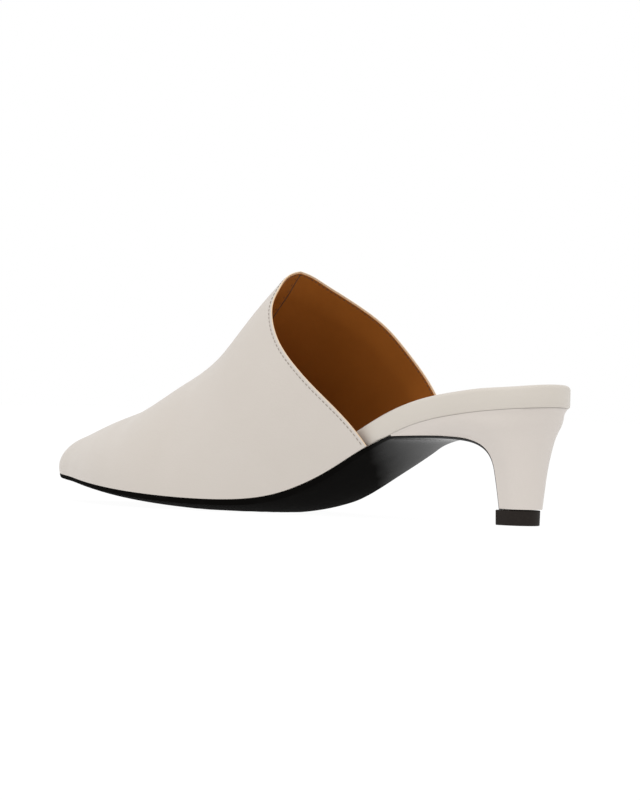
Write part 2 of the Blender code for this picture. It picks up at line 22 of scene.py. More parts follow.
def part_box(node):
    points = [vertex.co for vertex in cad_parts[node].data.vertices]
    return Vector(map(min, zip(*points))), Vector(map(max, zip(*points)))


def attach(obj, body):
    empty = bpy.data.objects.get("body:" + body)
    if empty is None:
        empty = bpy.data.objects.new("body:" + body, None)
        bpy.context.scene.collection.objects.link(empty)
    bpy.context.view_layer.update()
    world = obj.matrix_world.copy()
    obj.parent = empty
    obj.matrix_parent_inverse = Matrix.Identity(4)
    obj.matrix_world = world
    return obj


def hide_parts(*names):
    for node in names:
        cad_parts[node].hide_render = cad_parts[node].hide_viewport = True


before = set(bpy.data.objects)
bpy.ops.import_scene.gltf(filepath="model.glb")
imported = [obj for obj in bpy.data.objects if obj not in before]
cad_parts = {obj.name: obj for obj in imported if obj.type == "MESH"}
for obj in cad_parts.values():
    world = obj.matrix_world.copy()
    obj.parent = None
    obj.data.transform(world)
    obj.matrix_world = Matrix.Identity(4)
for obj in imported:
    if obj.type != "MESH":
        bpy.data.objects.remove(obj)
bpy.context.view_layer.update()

LOG = logging.getLogger("kitten_heel_mule")
WELD_SIZE = 1.5e-6
Number = Union[float, np.ndarray]
Colour = tuple[float, float, float]
Face = tuple[int, ...]


class Side(Enum):
    """The two sides of the foot."""

    OUTER = 1
    INNER = -1


class PlanRow(NamedTuple):
    """Half widths of the last on each side of its axis, as shares of the ball width."""

    at: float
    outer: float
    inner: float


class RiseRow(NamedTuple):
    """Feather line as shares of the seat lift and the toe spring, and the crown below it in metres."""

    at: float
    lift: float
    spring: float
    dip: float


class CrestRow(NamedTuple):
    """Height of the vamp's crest as a share of the throat peak, and the power that rounds the section."""

    at: float
    height: float
    power: float


class SwellRow(NamedTuple):
    """How far each wall swells past the feather line, and the share of its height in which it does."""

    at: float
    outer: float
    inner: float
    roll: float


class ToplineRow(NamedTuple):
    """Place of the topline along the shoe at a height, and how much further forward the outer side is."""

    height: float
    at: float
    cut: float


class SoleRow(NamedTuple):
    """Thickness of the sole at its edge, the crown under it and its reach past the last's plan."""

    at: float
    edge: float
    crown: float
    reach: float


class BreastRow(NamedTuple):
    """A step of the heel from the lift up and out to the lip, with the heel's back at that step."""

    forward: float
    height: float
    half: float
    back_height: float
    back_half: float


PLAN_TABLE = (
    PlanRow(0.000, 0.288, 0.280),
    PlanRow(0.101, 0.291, 0.283),
    PlanRow(0.201, 0.291, 0.265),
    PlanRow(0.282, 0.268, 0.219),
    PlanRow(0.342, 0.259, 0.199),
    PlanRow(0.423, 0.300, 0.232),
    PlanRow(0.523, 0.383, 0.332),
    PlanRow(0.624, 0.472, 0.436),
    PlanRow(0.705, 0.486, 0.460),
    PlanRow(0.785, 0.415, 0.417),
    PlanRow(0.866, 0.290, 0.293),
    PlanRow(0.946, 0.144, 0.161),
    PlanRow(1.000, 0.086, 0.100),
)
RISE_TABLE = (
    RiseRow(0.000, 1.000, 0.000, 0.0000),
    RiseRow(0.101, 0.923, 0.000, 0.0000),
    RiseRow(0.181, 0.829, 0.000, 0.0000),
    RiseRow(0.242, 0.699, 0.000, 0.0000),
    RiseRow(0.302, 0.515, 0.000, 0.0002),
    RiseRow(0.362, 0.307, 0.000, 0.0008),
    RiseRow(0.443, 0.085, 0.000, 0.0017),
    RiseRow(0.543, 0.000, 0.000, 0.0023),
    RiseRow(0.644, 0.000, 0.098, 0.0026),
    RiseRow(0.725, 0.000, 0.295, 0.0029),
    RiseRow(0.825, 0.000, 0.567, 0.0025),
    RiseRow(0.926, 0.000, 0.852, 0.0012),
    RiseRow(1.000, 0.000, 1.000, 0.0002),
)
CREST_TABLE = (
    CrestRow(0.242, 1.311, 2.19),
    CrestRow(0.362, 1.233, 2.18),
    CrestRow(0.443, 1.127, 2.17),
    CrestRow(0.500, 1.000, 2.15),
    CrestRow(0.531, 0.912, 2.10),
    CrestRow(0.564, 0.808, 2.05),
    CrestRow(0.596, 0.710, 2.00),
    CrestRow(0.624, 0.644, 1.97),
    CrestRow(0.684, 0.545, 1.96),
    CrestRow(0.765, 0.431, 2.00),
    CrestRow(0.845, 0.363, 2.10),
    CrestRow(0.926, 0.291, 2.25),
    CrestRow(1.000, 0.233, 2.40),
)
SWELL_TABLE = (
    SwellRow(0.242, 0.019, 0.027, 0.40),
    SwellRow(0.382, 0.096, 0.173, 0.40),
    SwellRow(0.499, 0.075, 0.151, 0.38),
    SwellRow(0.604, 0.020, 0.065, 0.32),
    SwellRow(0.705, 0.015, 0.032, 0.28),
    SwellRow(0.845, 0.012, 0.015, 0.30),
    SwellRow(1.000, 0.009, 0.004, 0.50),
)
TOPLINE_TABLE = (
    ToplineRow(0.264, 0.2597, 0.0161),
    ToplineRow(0.374, 0.2899, 0.0201),
    ToplineRow(0.485, 0.3297, 0.0250),
    ToplineRow(0.595, 0.3744, 0.0282),
    ToplineRow(0.694, 0.4134, 0.0282),
    ToplineRow(0.793, 0.4481, 0.0217),
    ToplineRow(0.881, 0.4783, 0.0072),
    ToplineRow(0.947, 0.4911, -0.0032),
    ToplineRow(1.000, 0.4976, 0.0000),
)
SOLE_TABLE = (
    SoleRow(0.221, 0.0007, 0.0002, -0.0008),
    SoleRow(0.258, 0.0010, 0.0003, 0.0000),
    SoleRow(0.302, 0.0016, 0.0004, 0.0020),
    SoleRow(0.362, 0.0020, 0.0005, 0.0022),
    SoleRow(0.463, 0.0022, 0.0006, 0.0021),
    SoleRow(0.543, 0.0020, 0.0008, 0.0021),
    SoleRow(0.644, 0.0019, 0.0011, 0.0021),
    SoleRow(0.725, 0.0017, 0.0013, 0.0021),
    SoleRow(0.825, 0.0015, 0.0014, 0.0021),
    SoleRow(0.926, 0.0014, 0.0007, 0.0021),
    SoleRow(1.000, 0.0014, 0.0002, 0.0022),
)
BREAST_TABLE = (
    BreastRow(0.0199, 0.0058, 0.0072, 0.0058, 0.0074),
    BreastRow(0.0204, 0.0122, 0.0080, 0.0123, 0.0083),
    BreastRow(0.0208, 0.0181, 0.0090, 0.0187, 0.0095),
    BreastRow(0.0213, 0.0230, 0.0103, 0.0248, 0.0112),
    BreastRow(0.0227, 0.0264, 0.0117, 0.0296, 0.0131),
    BreastRow(0.0253, 0.0287, 0.0131, 0.0328, 0.0149),
    BreastRow(0.0291, 0.0301, 0.0146, 0.0351, 0.0166),
    BreastRow(0.0340, 0.0307, 0.0162, 0.0367, 0.0181),
    BreastRow(0.0420, 0.0309, 0.0180, 0.0381, 0.0196),
    BreastRow(0.0500, 0.0307, 0.0193, 0.0391, 0.0206),
    BreastRow(0.0570, 0.0304, 0.0200, 0.0399, 0.0212),
    BreastRow(0.0602, 0.0302, 0.0201, 0.0405, 0.0214),
)
BACK_LINE = ((0.0054, 0.0082), (0.0118, 0.0078), (0.0183, 0.0076), (0.0249, 0.0074),
             (0.0292, 0.0072), (0.0330, 0.0066), (0.0369, 0.0048), (0.0411, 0.0024))


class Spline:
    """Natural cubic spline through points, held at its ends."""

    def __init__(self, places: Sequence[float], values: Sequence[float]) -> None:
        """Fit the spline.

        Args:
            places: Rising places of the points.
            values: Value at each place, a number or a row of numbers.
        """
        self.places = np.asarray(places, float)
        self.values = np.asarray(values, float)
        steps = np.diff(self.places)
        count = len(self.places)
        matrix = np.eye(count)
        right = np.zeros(self.values.shape)
        for i in range(1, count - 1):
            matrix[i, i - 1:i + 2] = steps[i - 1], 2 * (steps[i - 1] + steps[i]), steps[i]
            rise = (self.values[i + 1] - self.values[i]) / steps[i]
            right[i] = 6 * (rise - (self.values[i] - self.values[i - 1]) / steps[i - 1])
        self.steps = steps
        self.spread = (Ellipsis,) + (None,) * (self.values.ndim - 1)
        self.bend = np.linalg.solve(matrix, right)

    def __call__(self, place: Number, derivative: int = 0) -> np.ndarray:
        """Read the curve.

        Args:
            place: Where to read it.
            derivative: 0 for the value, 1 for the slope.

        Returns:
            The value or the slope at each place.
        """
        xs, ys, bend = self.places, self.values, self.bend
        x = np.clip(np.asarray(place, float), xs[0], xs[-1])
        i = np.clip(np.searchsorted(xs, x, side="right") - 1, 0, len(xs) - 2)
        step = np.asarray(self.steps[i])[self.spread]
        ahead = np.asarray(xs[i + 1] - x)[self.spread]
        past = np.asarray(x - xs[i])[self.spread]
        low = ys[i] / step - bend[i] * step / 6
        high = ys[i + 1] / step - bend[i + 1] * step / 6
        if derivative:
            return (bend[i + 1] * past ** 2 - bend[i] * ahead ** 2) / (2 * step) + high - low
        return (bend[i] * ahead ** 3 + bend[i + 1] * past ** 3) / (6 * step) + low * ahead + high * past


def column(rows: Sequence[NamedTuple], name: str, size: float = 1.0, along: float = 1.0) -> Spline:
    """Smooth curve through one column of a table.

    Args:
        rows: The table, whose first column holds the places.
        name: Column to read.
        size: Size that the column's shares are of.
        along: Size that the places are shares of.

    Returns:
        The curve, over real places.
    """
    return Spline([row[0] * along for row in rows], [getattr(row, name) * size for row in rows])


def ease(t: Number) -> np.ndarray:
    """Smooth step from 0 to 1."""
    t = np.clip(t, 0.0, 1.0)
    return t * t * (3 - 2 * t)


def unit(vectors: np.ndarray) -> np.ndarray:
    """Vectors brought to length one along their last axis."""
    return vectors / np.maximum(np.linalg.norm(vectors, axis=-1, keepdims=True), 1e-12)


def distinct(corners: Iterable[int]) -> list[int]:
    """Corners in their order, without the ones that repeat."""
    return list(dict.fromkeys(corners))


@dataclass
class Last:
    """The form that the upper, the footbed and the sole are shaped on."""

    length: float = 0.2484
    ball_width: float = 0.075
    peak_height: float = 0.0908
    seat_lift: float = 0.0375
    tread_height: float = 0.0044
    toe_spring: float = 0.0061
    toe_swing: float = 0.0020
    clearance: float = 0.0003
    wall: float = 0.0019
    toe_cap: float = 0.015
    heel_cap: float = 0.025
    heel_cap_power: float = 2.0
    toe_front: float = 0.016
    toe_front_power: float = 2.8
    nose_bulge: float = 0.0004
    nose_height: float = 0.0105
    nose_reach: float = 0.022
    throat_point: float = 0.0016
    throat_point_drop: float = 0.008
    throat_ridge: float = 0.0014
    throat_ridge_half: float = 0.005
    throat_ridge_from: float = 0.120
    throat_ridge_to: float = 0.138
    plan: dict[Side, Spline] = field(init=False)
    swell: dict[Side, Spline] = field(init=False)
    roll: Spline = field(init=False)
    lift: Spline = field(init=False)
    spring: Spline = field(init=False)
    crown: Spline = field(init=False)
    crest: Spline = field(init=False)
    power: Spline = field(init=False)
    topline: Spline = field(init=False)
    cut: Spline = field(init=False)

    def __post_init__(self) -> None:
        """Read the tables as curves."""
        along = self.length
        self.plan = {Side.OUTER: column(PLAN_TABLE, "outer", self.ball_width, along),
                     Side.INNER: column(PLAN_TABLE, "inner", self.ball_width, along)}
        self.swell = {Side.OUTER: column(SWELL_TABLE, "outer", self.ball_width, along),
                      Side.INNER: column(SWELL_TABLE, "inner", self.ball_width, along)}
        self.roll = column(SWELL_TABLE, "roll", 1.0, along)
        self.lift = column(RISE_TABLE, "lift", self.seat_lift, along)
        self.spring = column(RISE_TABLE, "spring", self.toe_spring, along)
        self.crown = column(RISE_TABLE, "dip", 1.0, along)
        self.crest = column(CREST_TABLE, "height", self.peak_height, along)
        self.power = column(CREST_TABLE, "power", 1.0, along)
        self.topline = column(TOPLINE_TABLE, "at", self.length, self.peak_height)
        self.cut = column(TOPLINE_TABLE, "cut", self.length, self.peak_height)

    def feather(self, x: Number) -> np.ndarray:
        """Height of the feather line, where the upper meets the sole."""
        return self.tread_height + self.lift(x) + self.spring(x)

    def tilt(self, x: Number) -> np.ndarray:
        """Stretch that keeps a pad's thickness square to the sloping feather line."""
        return np.sqrt(1 + (self.lift(x, 1) + self.spring(x, 1)) ** 2)

    def axis(self, x: Number) -> np.ndarray:
        """Sideways place of the last's axis, which swings toward the outer side at the toe."""
        return self.toe_swing * (np.asarray(x, float) / self.length) ** 2

    def half_width(self, x: Number, side: Side, grow: Number) -> np.ndarray:
        """Half width of the last's plan.

        Args:
            x: Place along the shoe.
            side: Which side of the axis.
            grow: How far the plan is grown outward.

        Returns:
            Distance from the axis, closing round at both ends.
        """
        body = self.plan[side]
        tip = self.length - self.wall - self.clearance + grow
        toe = np.clip((x - tip + self.toe_cap) / self.toe_cap, 0, 1)
        heel = np.clip((self.heel_cap - x) / (self.heel_cap + grow), 0, 1)
        closing = np.sqrt(1 - toe ** 2) * np.sqrt(1 - heel ** self.heel_cap_power)
        return (body(x) + grow * np.sqrt(1 + body(x, 1) ** 2)) * closing

    def dip(self, x: Number, y: Number) -> np.ndarray:
        """How far the last's underside hangs below its feather line at a point."""
        outer = np.maximum(self.half_width(x, Side.OUTER, 0.0), 0.004)
        inner = np.maximum(self.half_width(x, Side.INNER, 0.0), 0.004)
        off = y - self.axis(x)
        share = np.clip(off / np.where(off > 0, outer, inner), -1, 1)
        return self.crown(x) * (1 - share ** 2)

    def upper_height(self, x: float) -> float:
        """Height of the crest above the feather line, closing at the toe."""
        share = float(np.clip((x - self.length + self.toe_front) / self.toe_front, 0, 1))
        closing = (1 - share ** self.toe_front_power) ** (1 / self.toe_front_power)
        return float(self.crest(x) - self.feather(x)) * closing

    def section(self, x: float, side: Side, shares: np.ndarray, samples: int = 241) -> np.ndarray:
        """Points of one side of the upper's outer face at a place along the shoe.

        Args:
            x: Place along the shoe.
            side: Which side of the crest.
            shares: Shares of the girth, 0 at the crest and 1 at the feather line.
            samples: How many points the section is measured with.

        Returns:
            One point for each share.
        """
        angle = np.linspace(0, math.pi / 2, samples)
        power = float(self.power(x))
        up = np.cos(angle) ** (2 / power)
        roll = float(self.roll(x))
        toe = float(np.clip((x - self.length + self.toe_cap) / self.toe_cap, 0, 1))
        swelling = np.where(up < roll, 1 - (1 - up / roll) ** 2, 1.0) * math.sqrt(1 - toe ** 2)
        base = float(self.half_width(x, side, self.wall + self.clearance))
        across = (base + float(self.swell[side](x)) * swelling) * np.sqrt(np.maximum(1 - up ** power, 0))
        fade = 1 - float(ease((x - self.throat_ridge_from) / (self.throat_ridge_to - self.throat_ridge_from)))
        sunk = self.throat_ridge * fade * (1 - np.exp(-across / self.throat_ridge_half))
        above = (self.upper_height(x) - sunk) * up
        nose = self.nose_bulge * float(ease((x - self.length + self.nose_reach) / self.nose_reach))
        ahead = nose * np.sin(math.pi * np.clip(above / self.nose_height, 0, 1))
        height = float(self.feather(x)) + self.clearance + above
        points = np.stack([x + ahead, float(self.axis(x)) + side.value * across, height], axis=1)
        run = np.concatenate([[0], np.cumsum(np.hypot(np.diff(points[:, 1]), np.diff(points[:, 2])))])
        if run[-1] < 1e-9:
            return np.repeat(points[:1], len(shares), axis=0)
        return np.stack([np.interp(shares, run / run[-1], points[:, k]) for k in range(3)], axis=1)

    def topline_at(self, height: Number, side: Side) -> np.ndarray:
        """Place of the topline along the shoe at a height, on one side."""
        below = np.minimum(height - TOPLINE_TABLE[0].height * self.peak_height, 0)
        drop = np.clip((self.peak_height - height) / self.throat_point_drop, 0, 1)
        point = self.throat_point * (1 - np.sqrt(drop))
        return self.topline(height) + side.value * self.cut(height) + point + below

    def plan_loop(self, heel_end: float, toe_end: float, grow: Callable[[float], float],
                  body_rows: int = 120, end_rows: int = 22) -> tuple[np.ndarray, np.ndarray]:
        """Outer and inner edge of the last's plan, grown outward.

        Args:
            heel_end: Growth at the heel's end.
            toe_end: Growth at the toe's end.
            grow: Growth of the sides at a place along the shoe.
            body_rows: Points along each side.
            end_rows: Points round each end.

        Returns:
            The outer and the inner edge, each from the heel to the toe.
        """
        turns = np.linspace(math.pi / 2, 0, end_rows + 1)
        heel = self.heel_cap - (self.heel_cap + heel_end) * np.sin(turns)
        tip = self.length - self.wall - self.clearance + toe_end
        toe = tip - self.toe_cap + self.toe_cap * np.sin(turns[::-1])
        body = np.linspace(self.heel_cap, tip - self.toe_cap, body_rows + 2)[1:-1]
        xs = np.concatenate([heel, body, toe])
        edges = []
        for side in Side:
            ys = [float(self.axis(x)) + side.value * float(self.half_width(x, side, grow(x))) for x in xs]
            edge = np.stack([xs, ys], axis=1)
            edge[0, 1] = self.axis(xs[0])
            edge[-1, 1] = self.axis(xs[-1])
            edges.append(edge)
        return edges[0], edges[1]


@dataclass
class Placement:
    """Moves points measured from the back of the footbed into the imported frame."""

    shift: np.ndarray = field(init=False)

    def __post_init__(self) -> None:
        """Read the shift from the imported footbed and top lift."""
        footbed_low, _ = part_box("insole")
        lift_low, lift_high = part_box("top_lift")
        self.shift = np.array([-footbed_low[0], -(lift_low[1] + lift_high[1]) / 2, 0.0])

    def moved(self, points: np.ndarray) -> np.ndarray:
        """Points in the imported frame."""
        return np.asarray(points, float) - self.shift


class Mesh:
    """Points, faces and finishes of one piece while it is put together."""

    def __init__(self) -> None:
        """Start empty."""
        self.points: list[np.ndarray] = []
        self.faces: list[Face] = []
        self.finishes: list[int] = []
        self.count = 0

    def add_points(self, points: np.ndarray) -> np.ndarray:
        """Add points and return their numbers in the same layout.

        Args:
            points: Array of points of any layout, three numbers each.

        Returns:
            The number of each point.
        """
        flat = np.asarray(points, float).reshape(-1, 3)
        numbers = np.arange(self.count, self.count + len(flat))
        self.points.append(flat)
        self.count += len(flat)
        return numbers.reshape(np.asarray(points).shape[:-1])

    def add_face(self, corners: Sequence[int], finish: int = 0) -> None:
        """Add one face, dropping corners that repeat."""
        loop = distinct(map(int, corners))
        if len(loop) > 2:
            self.faces.append(tuple(loop))
            self.finishes.append(finish)

    def add_grid(self, numbers: np.ndarray, finish: int = 0, flip: bool = False, around: bool = False) -> None:
        """Add the quads between rows of points.

        Args:
            numbers: Point numbers, rows by columns.
            finish: Which of the piece's finishes the faces take.
            flip: Whether the faces look the other way.
            around: Whether each row closes on itself.
        """
        rows, columns = numbers.shape
        for i in range(rows - 1):
            for j in range(columns if around else columns - 1):
                k = (j + 1) % columns
                quad = (numbers[i, j], numbers[i + 1, j], numbers[i + 1, k], numbers[i, k])
                self.add_face(quad[::-1] if flip else quad, finish)

    def build(self, name: str, placement: Placement, finishes: Sequence[bpy.types.Material],
              sharp: float = 50.0) -> bpy.types.Object:
        """Make the object.

        Args:
            name: Name of the piece.
            placement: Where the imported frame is.
            finishes: Materials in the order of the finish numbers.
            sharp: Angle in degrees above which an edge shades sharp.

        Returns:
            The new object, linked to the scene.
        """
        points = placement.moved(np.concatenate(self.points))
        keys: dict[tuple[int, ...], int] = {}
        order = []
        kept = []
        for point in points:
            key = tuple(int(round(value / WELD_SIZE)) for value in point)
            if key not in keys:
                keys[key] = len(kept)
                kept.append(tuple(map(float, point)))
            order.append(keys[key])
        faces = []
        slots = []
        for face, finish in zip(self.faces, self.finishes):
            loop = distinct(order[corner] for corner in face)
            if len(loop) > 2:
                faces.append(tuple(loop))
                slots.append(finish)
        mesh = bpy.data.meshes.new(name)
        mesh.from_pydata(kept, [], faces)
        for material in finishes:
            mesh.materials.append(material)
        mesh.polygons.foreach_set("material_index", slots)
        mesh.shade_smooth()
        mesh.set_sharp_from_angle(angle=math.radians(sharp))
        mesh.update()
        piece = bpy.data.objects.new(name, mesh)
        bpy.context.scene.collection.objects.link(piece)
        return piece


class Shader:
    """A material's node tree while it is wired."""

    def __init__(self, name: str) -> None:
        """Start from a plain principled material."""
        self.material = bpy.data.materials.new(name)
        self.material.use_nodes = True
        self.tree = self.material.node_tree
        self.surface = self.tree.nodes["Principled BSDF"]
        self.place = self.node("ShaderNodeTexCoord").outputs["Object"]

    def node(self, kind: str, **settings: object) -> bpy.types.Node:
        """Add a node and set its plain properties."""
        made = self.tree.nodes.new(kind)
        for name, value in settings.items():
            setattr(made, name, value)
        return made

    def set(self, name: str, value: object) -> None:
        """Set one socket of the surface."""
        self.surface.inputs[name].default_value = value

    def wire(self, source: bpy.types.NodeSocket, target: bpy.types.NodeSocket) -> None:
        """Join two sockets."""
        self.tree.links.new(source, target)

    def noise(self, size: float, detail: float = 3.0, roughness: float = 0.5,
              stretch: Vector = Vector((1, 1, 1))) -> bpy.types.NodeSocket:
        """Noise whose cells are about one size across.

        Args:
            size: Size of a cell in metres.
            detail: How many finer layers it has.
            roughness: How strong the finer layers are.
            stretch: Scale of the coordinates on each axis.

        Returns:
            The noise's factor.
        """
        mapping = self.node("ShaderNodeMapping")
        mapping.inputs["Scale"].default_value = stretch
        self.wire(self.place, mapping.inputs["Vector"])
        noise = self.node("ShaderNodeTexNoise")
        noise.inputs["Scale"].default_value = 1.0 / size
        noise.inputs["Detail"].default_value = detail
        noise.inputs["Roughness"].default_value = roughness
        self.wire(mapping.outputs["Vector"], noise.inputs["Vector"])
        return noise.outputs["Fac"]

    def cells(self, size: float) -> bpy.types.NodeSocket:
        """Smooth pebbles about one size across, as a height."""
        voronoi = self.node("ShaderNodeTexVoronoi", feature="SMOOTH_F1")
        voronoi.inputs["Scale"].default_value = 1.0 / size
        voronoi.inputs["Smoothness"].default_value = 0.6
        self.wire(self.place, voronoi.inputs["Vector"])
        return voronoi.outputs["Distance"]

    def ramp(self, factor: bpy.types.NodeSocket, low: float, high: float, start: Colour,
             end: Colour) -> bpy.types.NodeSocket:
        """Colour that runs from one to another between two values of a factor.

        Args:
            factor: What the colour follows.
            low: Value at which the first colour ends.
            high: Value at which the second colour begins.
            start: First colour.
            end: Second colour.

        Returns:
            The colour.
        """
        ramp = self.node("ShaderNodeValToRGB")
        ramp.color_ramp.elements[0].position = low
        ramp.color_ramp.elements[1].position = high
        ramp.color_ramp.elements[0].color = (*start, 1.0)
        ramp.color_ramp.elements[1].color = (*end, 1.0)
        self.wire(factor, ramp.inputs["Fac"])
        return ramp.outputs["Color"]

    def tint(self, factor: bpy.types.NodeSocket, low: float, high: float, start: Colour, end: Colour) -> None:
        """Give the surface a colour that runs from one to another as a factor does."""
        self.wire(self.ramp(factor, low, high, start, end), self.surface.inputs["Base Color"])

    def between(self, factor: bpy.types.NodeSocket, low: float, high: float, start: float,
                end: float) -> bpy.types.NodeSocket:
        """Number that runs from one to another between two values of a factor."""
        spread = self.node("ShaderNodeMapRange", clamp=True)
        for name, value in (("From Min", low), ("From Max", high), ("To Min", start), ("To Max", end)):
            spread.inputs[name].default_value = value
        self.wire(factor, spread.inputs["Value"])
        return spread.outputs["Result"]

    def bump(self, heights: Sequence[tuple[bpy.types.NodeSocket, float]]) -> None:
        """Lay several reliefs over each other.

        Args:
            heights: Each relief and its height in metres.
        """
        normal: Optional[bpy.types.NodeSocket] = None
        for height, distance in heights:
            bump = self.node("ShaderNodeBump")
            bump.inputs["Strength"].default_value = 1.0
            bump.inputs["Distance"].default_value = distance
            self.wire(height, bump.inputs["Height"])
            if normal is not None:
                self.wire(normal, bump.inputs["Normal"])
            normal = bump.outputs["Normal"]
        if normal is not None:
            self.wire(normal, self.surface.inputs["Normal"])


@dataclass(frozen=True)
class Leather:
    """Leather with a fine grain, soft tint changes and a satin or glossy top."""

    name: str
    colour: Colour
    shade: Colour
    roughness: float
    grain_size: float = 0.0007
    grain_height: float = 0.00002
    ripple_size: float = 0.012
    ripple_height: float = 0.00006
    specular: float = 0.5
    coat: float = 0.0
    coat_roughness: float = 0.2
    sheen: float = 0.0

    def make(self) -> bpy.types.Material:
        """Wire the material."""
        shader = Shader(self.name)
        tint = shader.noise(self.ripple_size * 2.2, 4.0, 0.55)
        shader.tint(tint, 0.30, 0.72, self.shade, self.colour)
        gloss = shader.noise(self.ripple_size * 0.8, 5.0, 0.6)
        rough = shader.between(gloss, 0.3, 0.7, self.roughness * 0.9, self.roughness * 1.12)
        shader.wire(rough, shader.surface.inputs["Roughness"])
        shader.set("Specular IOR Level", self.specular)
        shader.set("Coat Weight", self.coat)
        shader.set("Coat Roughness", self.coat_roughness)
        shader.set("Sheen Weight", self.sheen)
        shader.bump(((shader.cells(self.grain_size), self.grain_height),
                     (shader.noise(self.grain_size * 0.45, 2.0), self.grain_height * 0.5),
                     (shader.noise(self.ripple_size, 3.0), self.ripple_height)))
        return shader.material


@dataclass(frozen=True)
class CutEdge:
    """Cut edge of leather: pale fibres with an edge dye worn thin."""

    name: str
    colour: Colour
    shade: Colour
    roughness: float = 0.7

    def make(self) -> bpy.types.Material:
        """Wire the material."""
        shader = Shader(self.name)
        fibres = shader.noise(0.0006, 4.0, 0.7)
        shader.tint(fibres, 0.32, 0.66, self.shade, self.colour)
        shader.set("Roughness", self.roughness)
        shader.bump(((fibres, 0.00006),))
        return shader.material


@dataclass(frozen=True)
class Thread:
    """Twisted sewing thread."""

    name: str
    colour: Colour
    shade: Colour

    def make(self) -> bpy.types.Material:
        """Wire the material."""
        shader = Shader(self.name)
        twist = shader.noise(0.00022, 2.0, 0.5)
        shader.tint(twist, 0.35, 0.65, self.shade, self.colour)
        shader.set("Roughness", 0.6)
        shader.bump(((twist, 0.00005),))
        return shader.material


@dataclass(frozen=True)
class SoleLeather:
    """Black sole leather: matte and lightly scuffed at the tread, polished toward the waist's inner side."""

    name: str
    colour: Colour
    worn: Colour
    tread_from: float
    tread_to: float
    matte: float
    polished: float

    def make(self) -> bpy.types.Material:
        """Wire the material."""
        shader = Shader(self.name)
        apart = shader.node("ShaderNodeSeparateXYZ")
        shader.wire(shader.place, apart.inputs["Vector"])
        wander = shader.noise(0.016, 4.0, 0.6)
        slant = shader.node("ShaderNodeMath", operation="MULTIPLY_ADD")
        shader.wire(apart.outputs["Y"], slant.inputs[0])
        slant.inputs[1].default_value = 0.7
        shader.wire(apart.outputs["X"], slant.inputs[2])
        place = shader.node("ShaderNodeMath", operation="MULTIPLY_ADD")
        shader.wire(wander, place.inputs[0])
        place.inputs[1].default_value = 0.008
        shader.wire(slant.outputs[0], place.inputs[2])
        rough = shader.between(place.outputs[0], self.tread_from, self.tread_to, self.polished, self.matte)
        fine = shader.noise(0.0011, 5.0, 0.65)
        mix = shader.node("ShaderNodeMath", operation="MULTIPLY_ADD")
        shader.wire(fine, mix.inputs[0])
        mix.inputs[1].default_value = 0.10
        shader.wire(rough, mix.inputs[2])
        shader.wire(mix.outputs[0], shader.surface.inputs["Roughness"])
        scuffs = shader.noise(0.004, 6.0, 0.7, Vector((0.35, 1.0, 1.0)))
        shader.tint(scuffs, 0.52, 0.80, self.colour, self.worn)
        shader.set("Specular IOR Level", 0.02)
        shine = shader.between(place.outputs[0], self.tread_from, self.tread_to, 0.9, 0.0)
        shader.wire(shine, shader.surface.inputs["Coat Weight"])
        shader.set("Coat Roughness", self.polished)
        shader.bump(((fine, 0.000025), (shader.noise(0.010, 3.0), 0.00005)))
        return shader.material


@dataclass(frozen=True)
class Rubber:
    """Moulded rubber of a top lift, with a faint sanded side."""

    name: str
    colour: Colour
    dust: Colour
    roughness: float = 0.55

    def make(self) -> bpy.types.Material:
        """Wire the material."""
        shader = Shader(self.name)
        lines = shader.noise(0.0012, 4.0, 0.6, Vector((1.0, 1.0, 5.0)))
        shader.tint(lines, 0.40, 0.78, self.colour, self.dust)
        shader.set("Roughness", self.roughness)
        shader.set("Specular IOR Level", 0.18)
        shader.bump(((lines, 0.00005), (shader.noise(0.0004, 2.0), 0.00002)))
        return shader.material


@dataclass(frozen=True)
class StudioWhite:
    """Lit white floor, which keeps only a trace of a shadow."""

    name: str
    glow: float
    colour: Colour

    def make(self) -> bpy.types.Material:
        """Wire the material."""
        shader = Shader(self.name)
        clouds = shader.noise(0.6, 2.0)
        pale = tuple(value * 0.99 for value in self.colour)
        shader.tint(clouds, 0.3, 0.7, pale, self.colour)
        shader.set("Roughness", 0.9)
        shader.set("Specular IOR Level", 0.0)
        shader.set("Emission Color", (1.0, 1.0, 1.0, 1.0))
        shader.set("Emission Strength", self.glow)
        return shader.material


WHITE_LEATHER = Leather("white_leather", (0.562, 0.514, 0.466), (0.547, 0.499, 0.450), 0.46, sheen=0.02)
RIM_LEATHER = Leather("rim_leather", (0.582, 0.536, 0.480), (0.567, 0.521, 0.464), 0.46, sheen=0.02)
HEEL_LEATHER = Leather("heel_leather", (0.602, 0.551, 0.507), (0.587, 0.536, 0.491), 0.44)
TAN_LINING = Leather("tan_lining", (0.300, 0.096, 0.013), (0.262, 0.082, 0.010), 0.66,
                     grain_size=0.0005, specular=0.12)
TAN_SOCK = Leather("tan_sock", (0.52, 0.240, 0.085), (0.47, 0.210, 0.070), 0.52, grain_size=0.0005, sheen=0.05)
LEATHER_EDGE = CutEdge("leather_edge", (0.78, 0.58, 0.38), (0.66, 0.46, 0.28))
LINING_EDGE = CutEdge("lining_edge", (0.66, 0.40, 0.20), (0.54, 0.30, 0.14))
PALE_THREAD = Thread("pale_thread", (0.34, 0.29, 0.24), (0.20, 0.17, 0.14))
# Thread of the lining's stitches; its dark colour also paints the shade of the lining's seam groove as a cord.
BROWN_THREAD_AND_SEAM_SHADE = Thread("brown_thread_and_seam_shade", (0.10, 0.045, 0.02), (0.05, 0.022, 0.01))
SOLE_BLACK = SoleLeather("sole_black", (0.0030, 0.0027, 0.0024), (0.006, 0.0055, 0.005),
                         -0.075, -0.036, 0.95, 0.25)
LIFT_RUBBER = Rubber("lift_rubber", (0.0120, 0.0085, 0.0065), (0.020, 0.0150, 0.0120), 0.7)
FLOOR_WHITE = StudioWhite("studio_white", 0.97, (0.06, 0.06, 0.06))


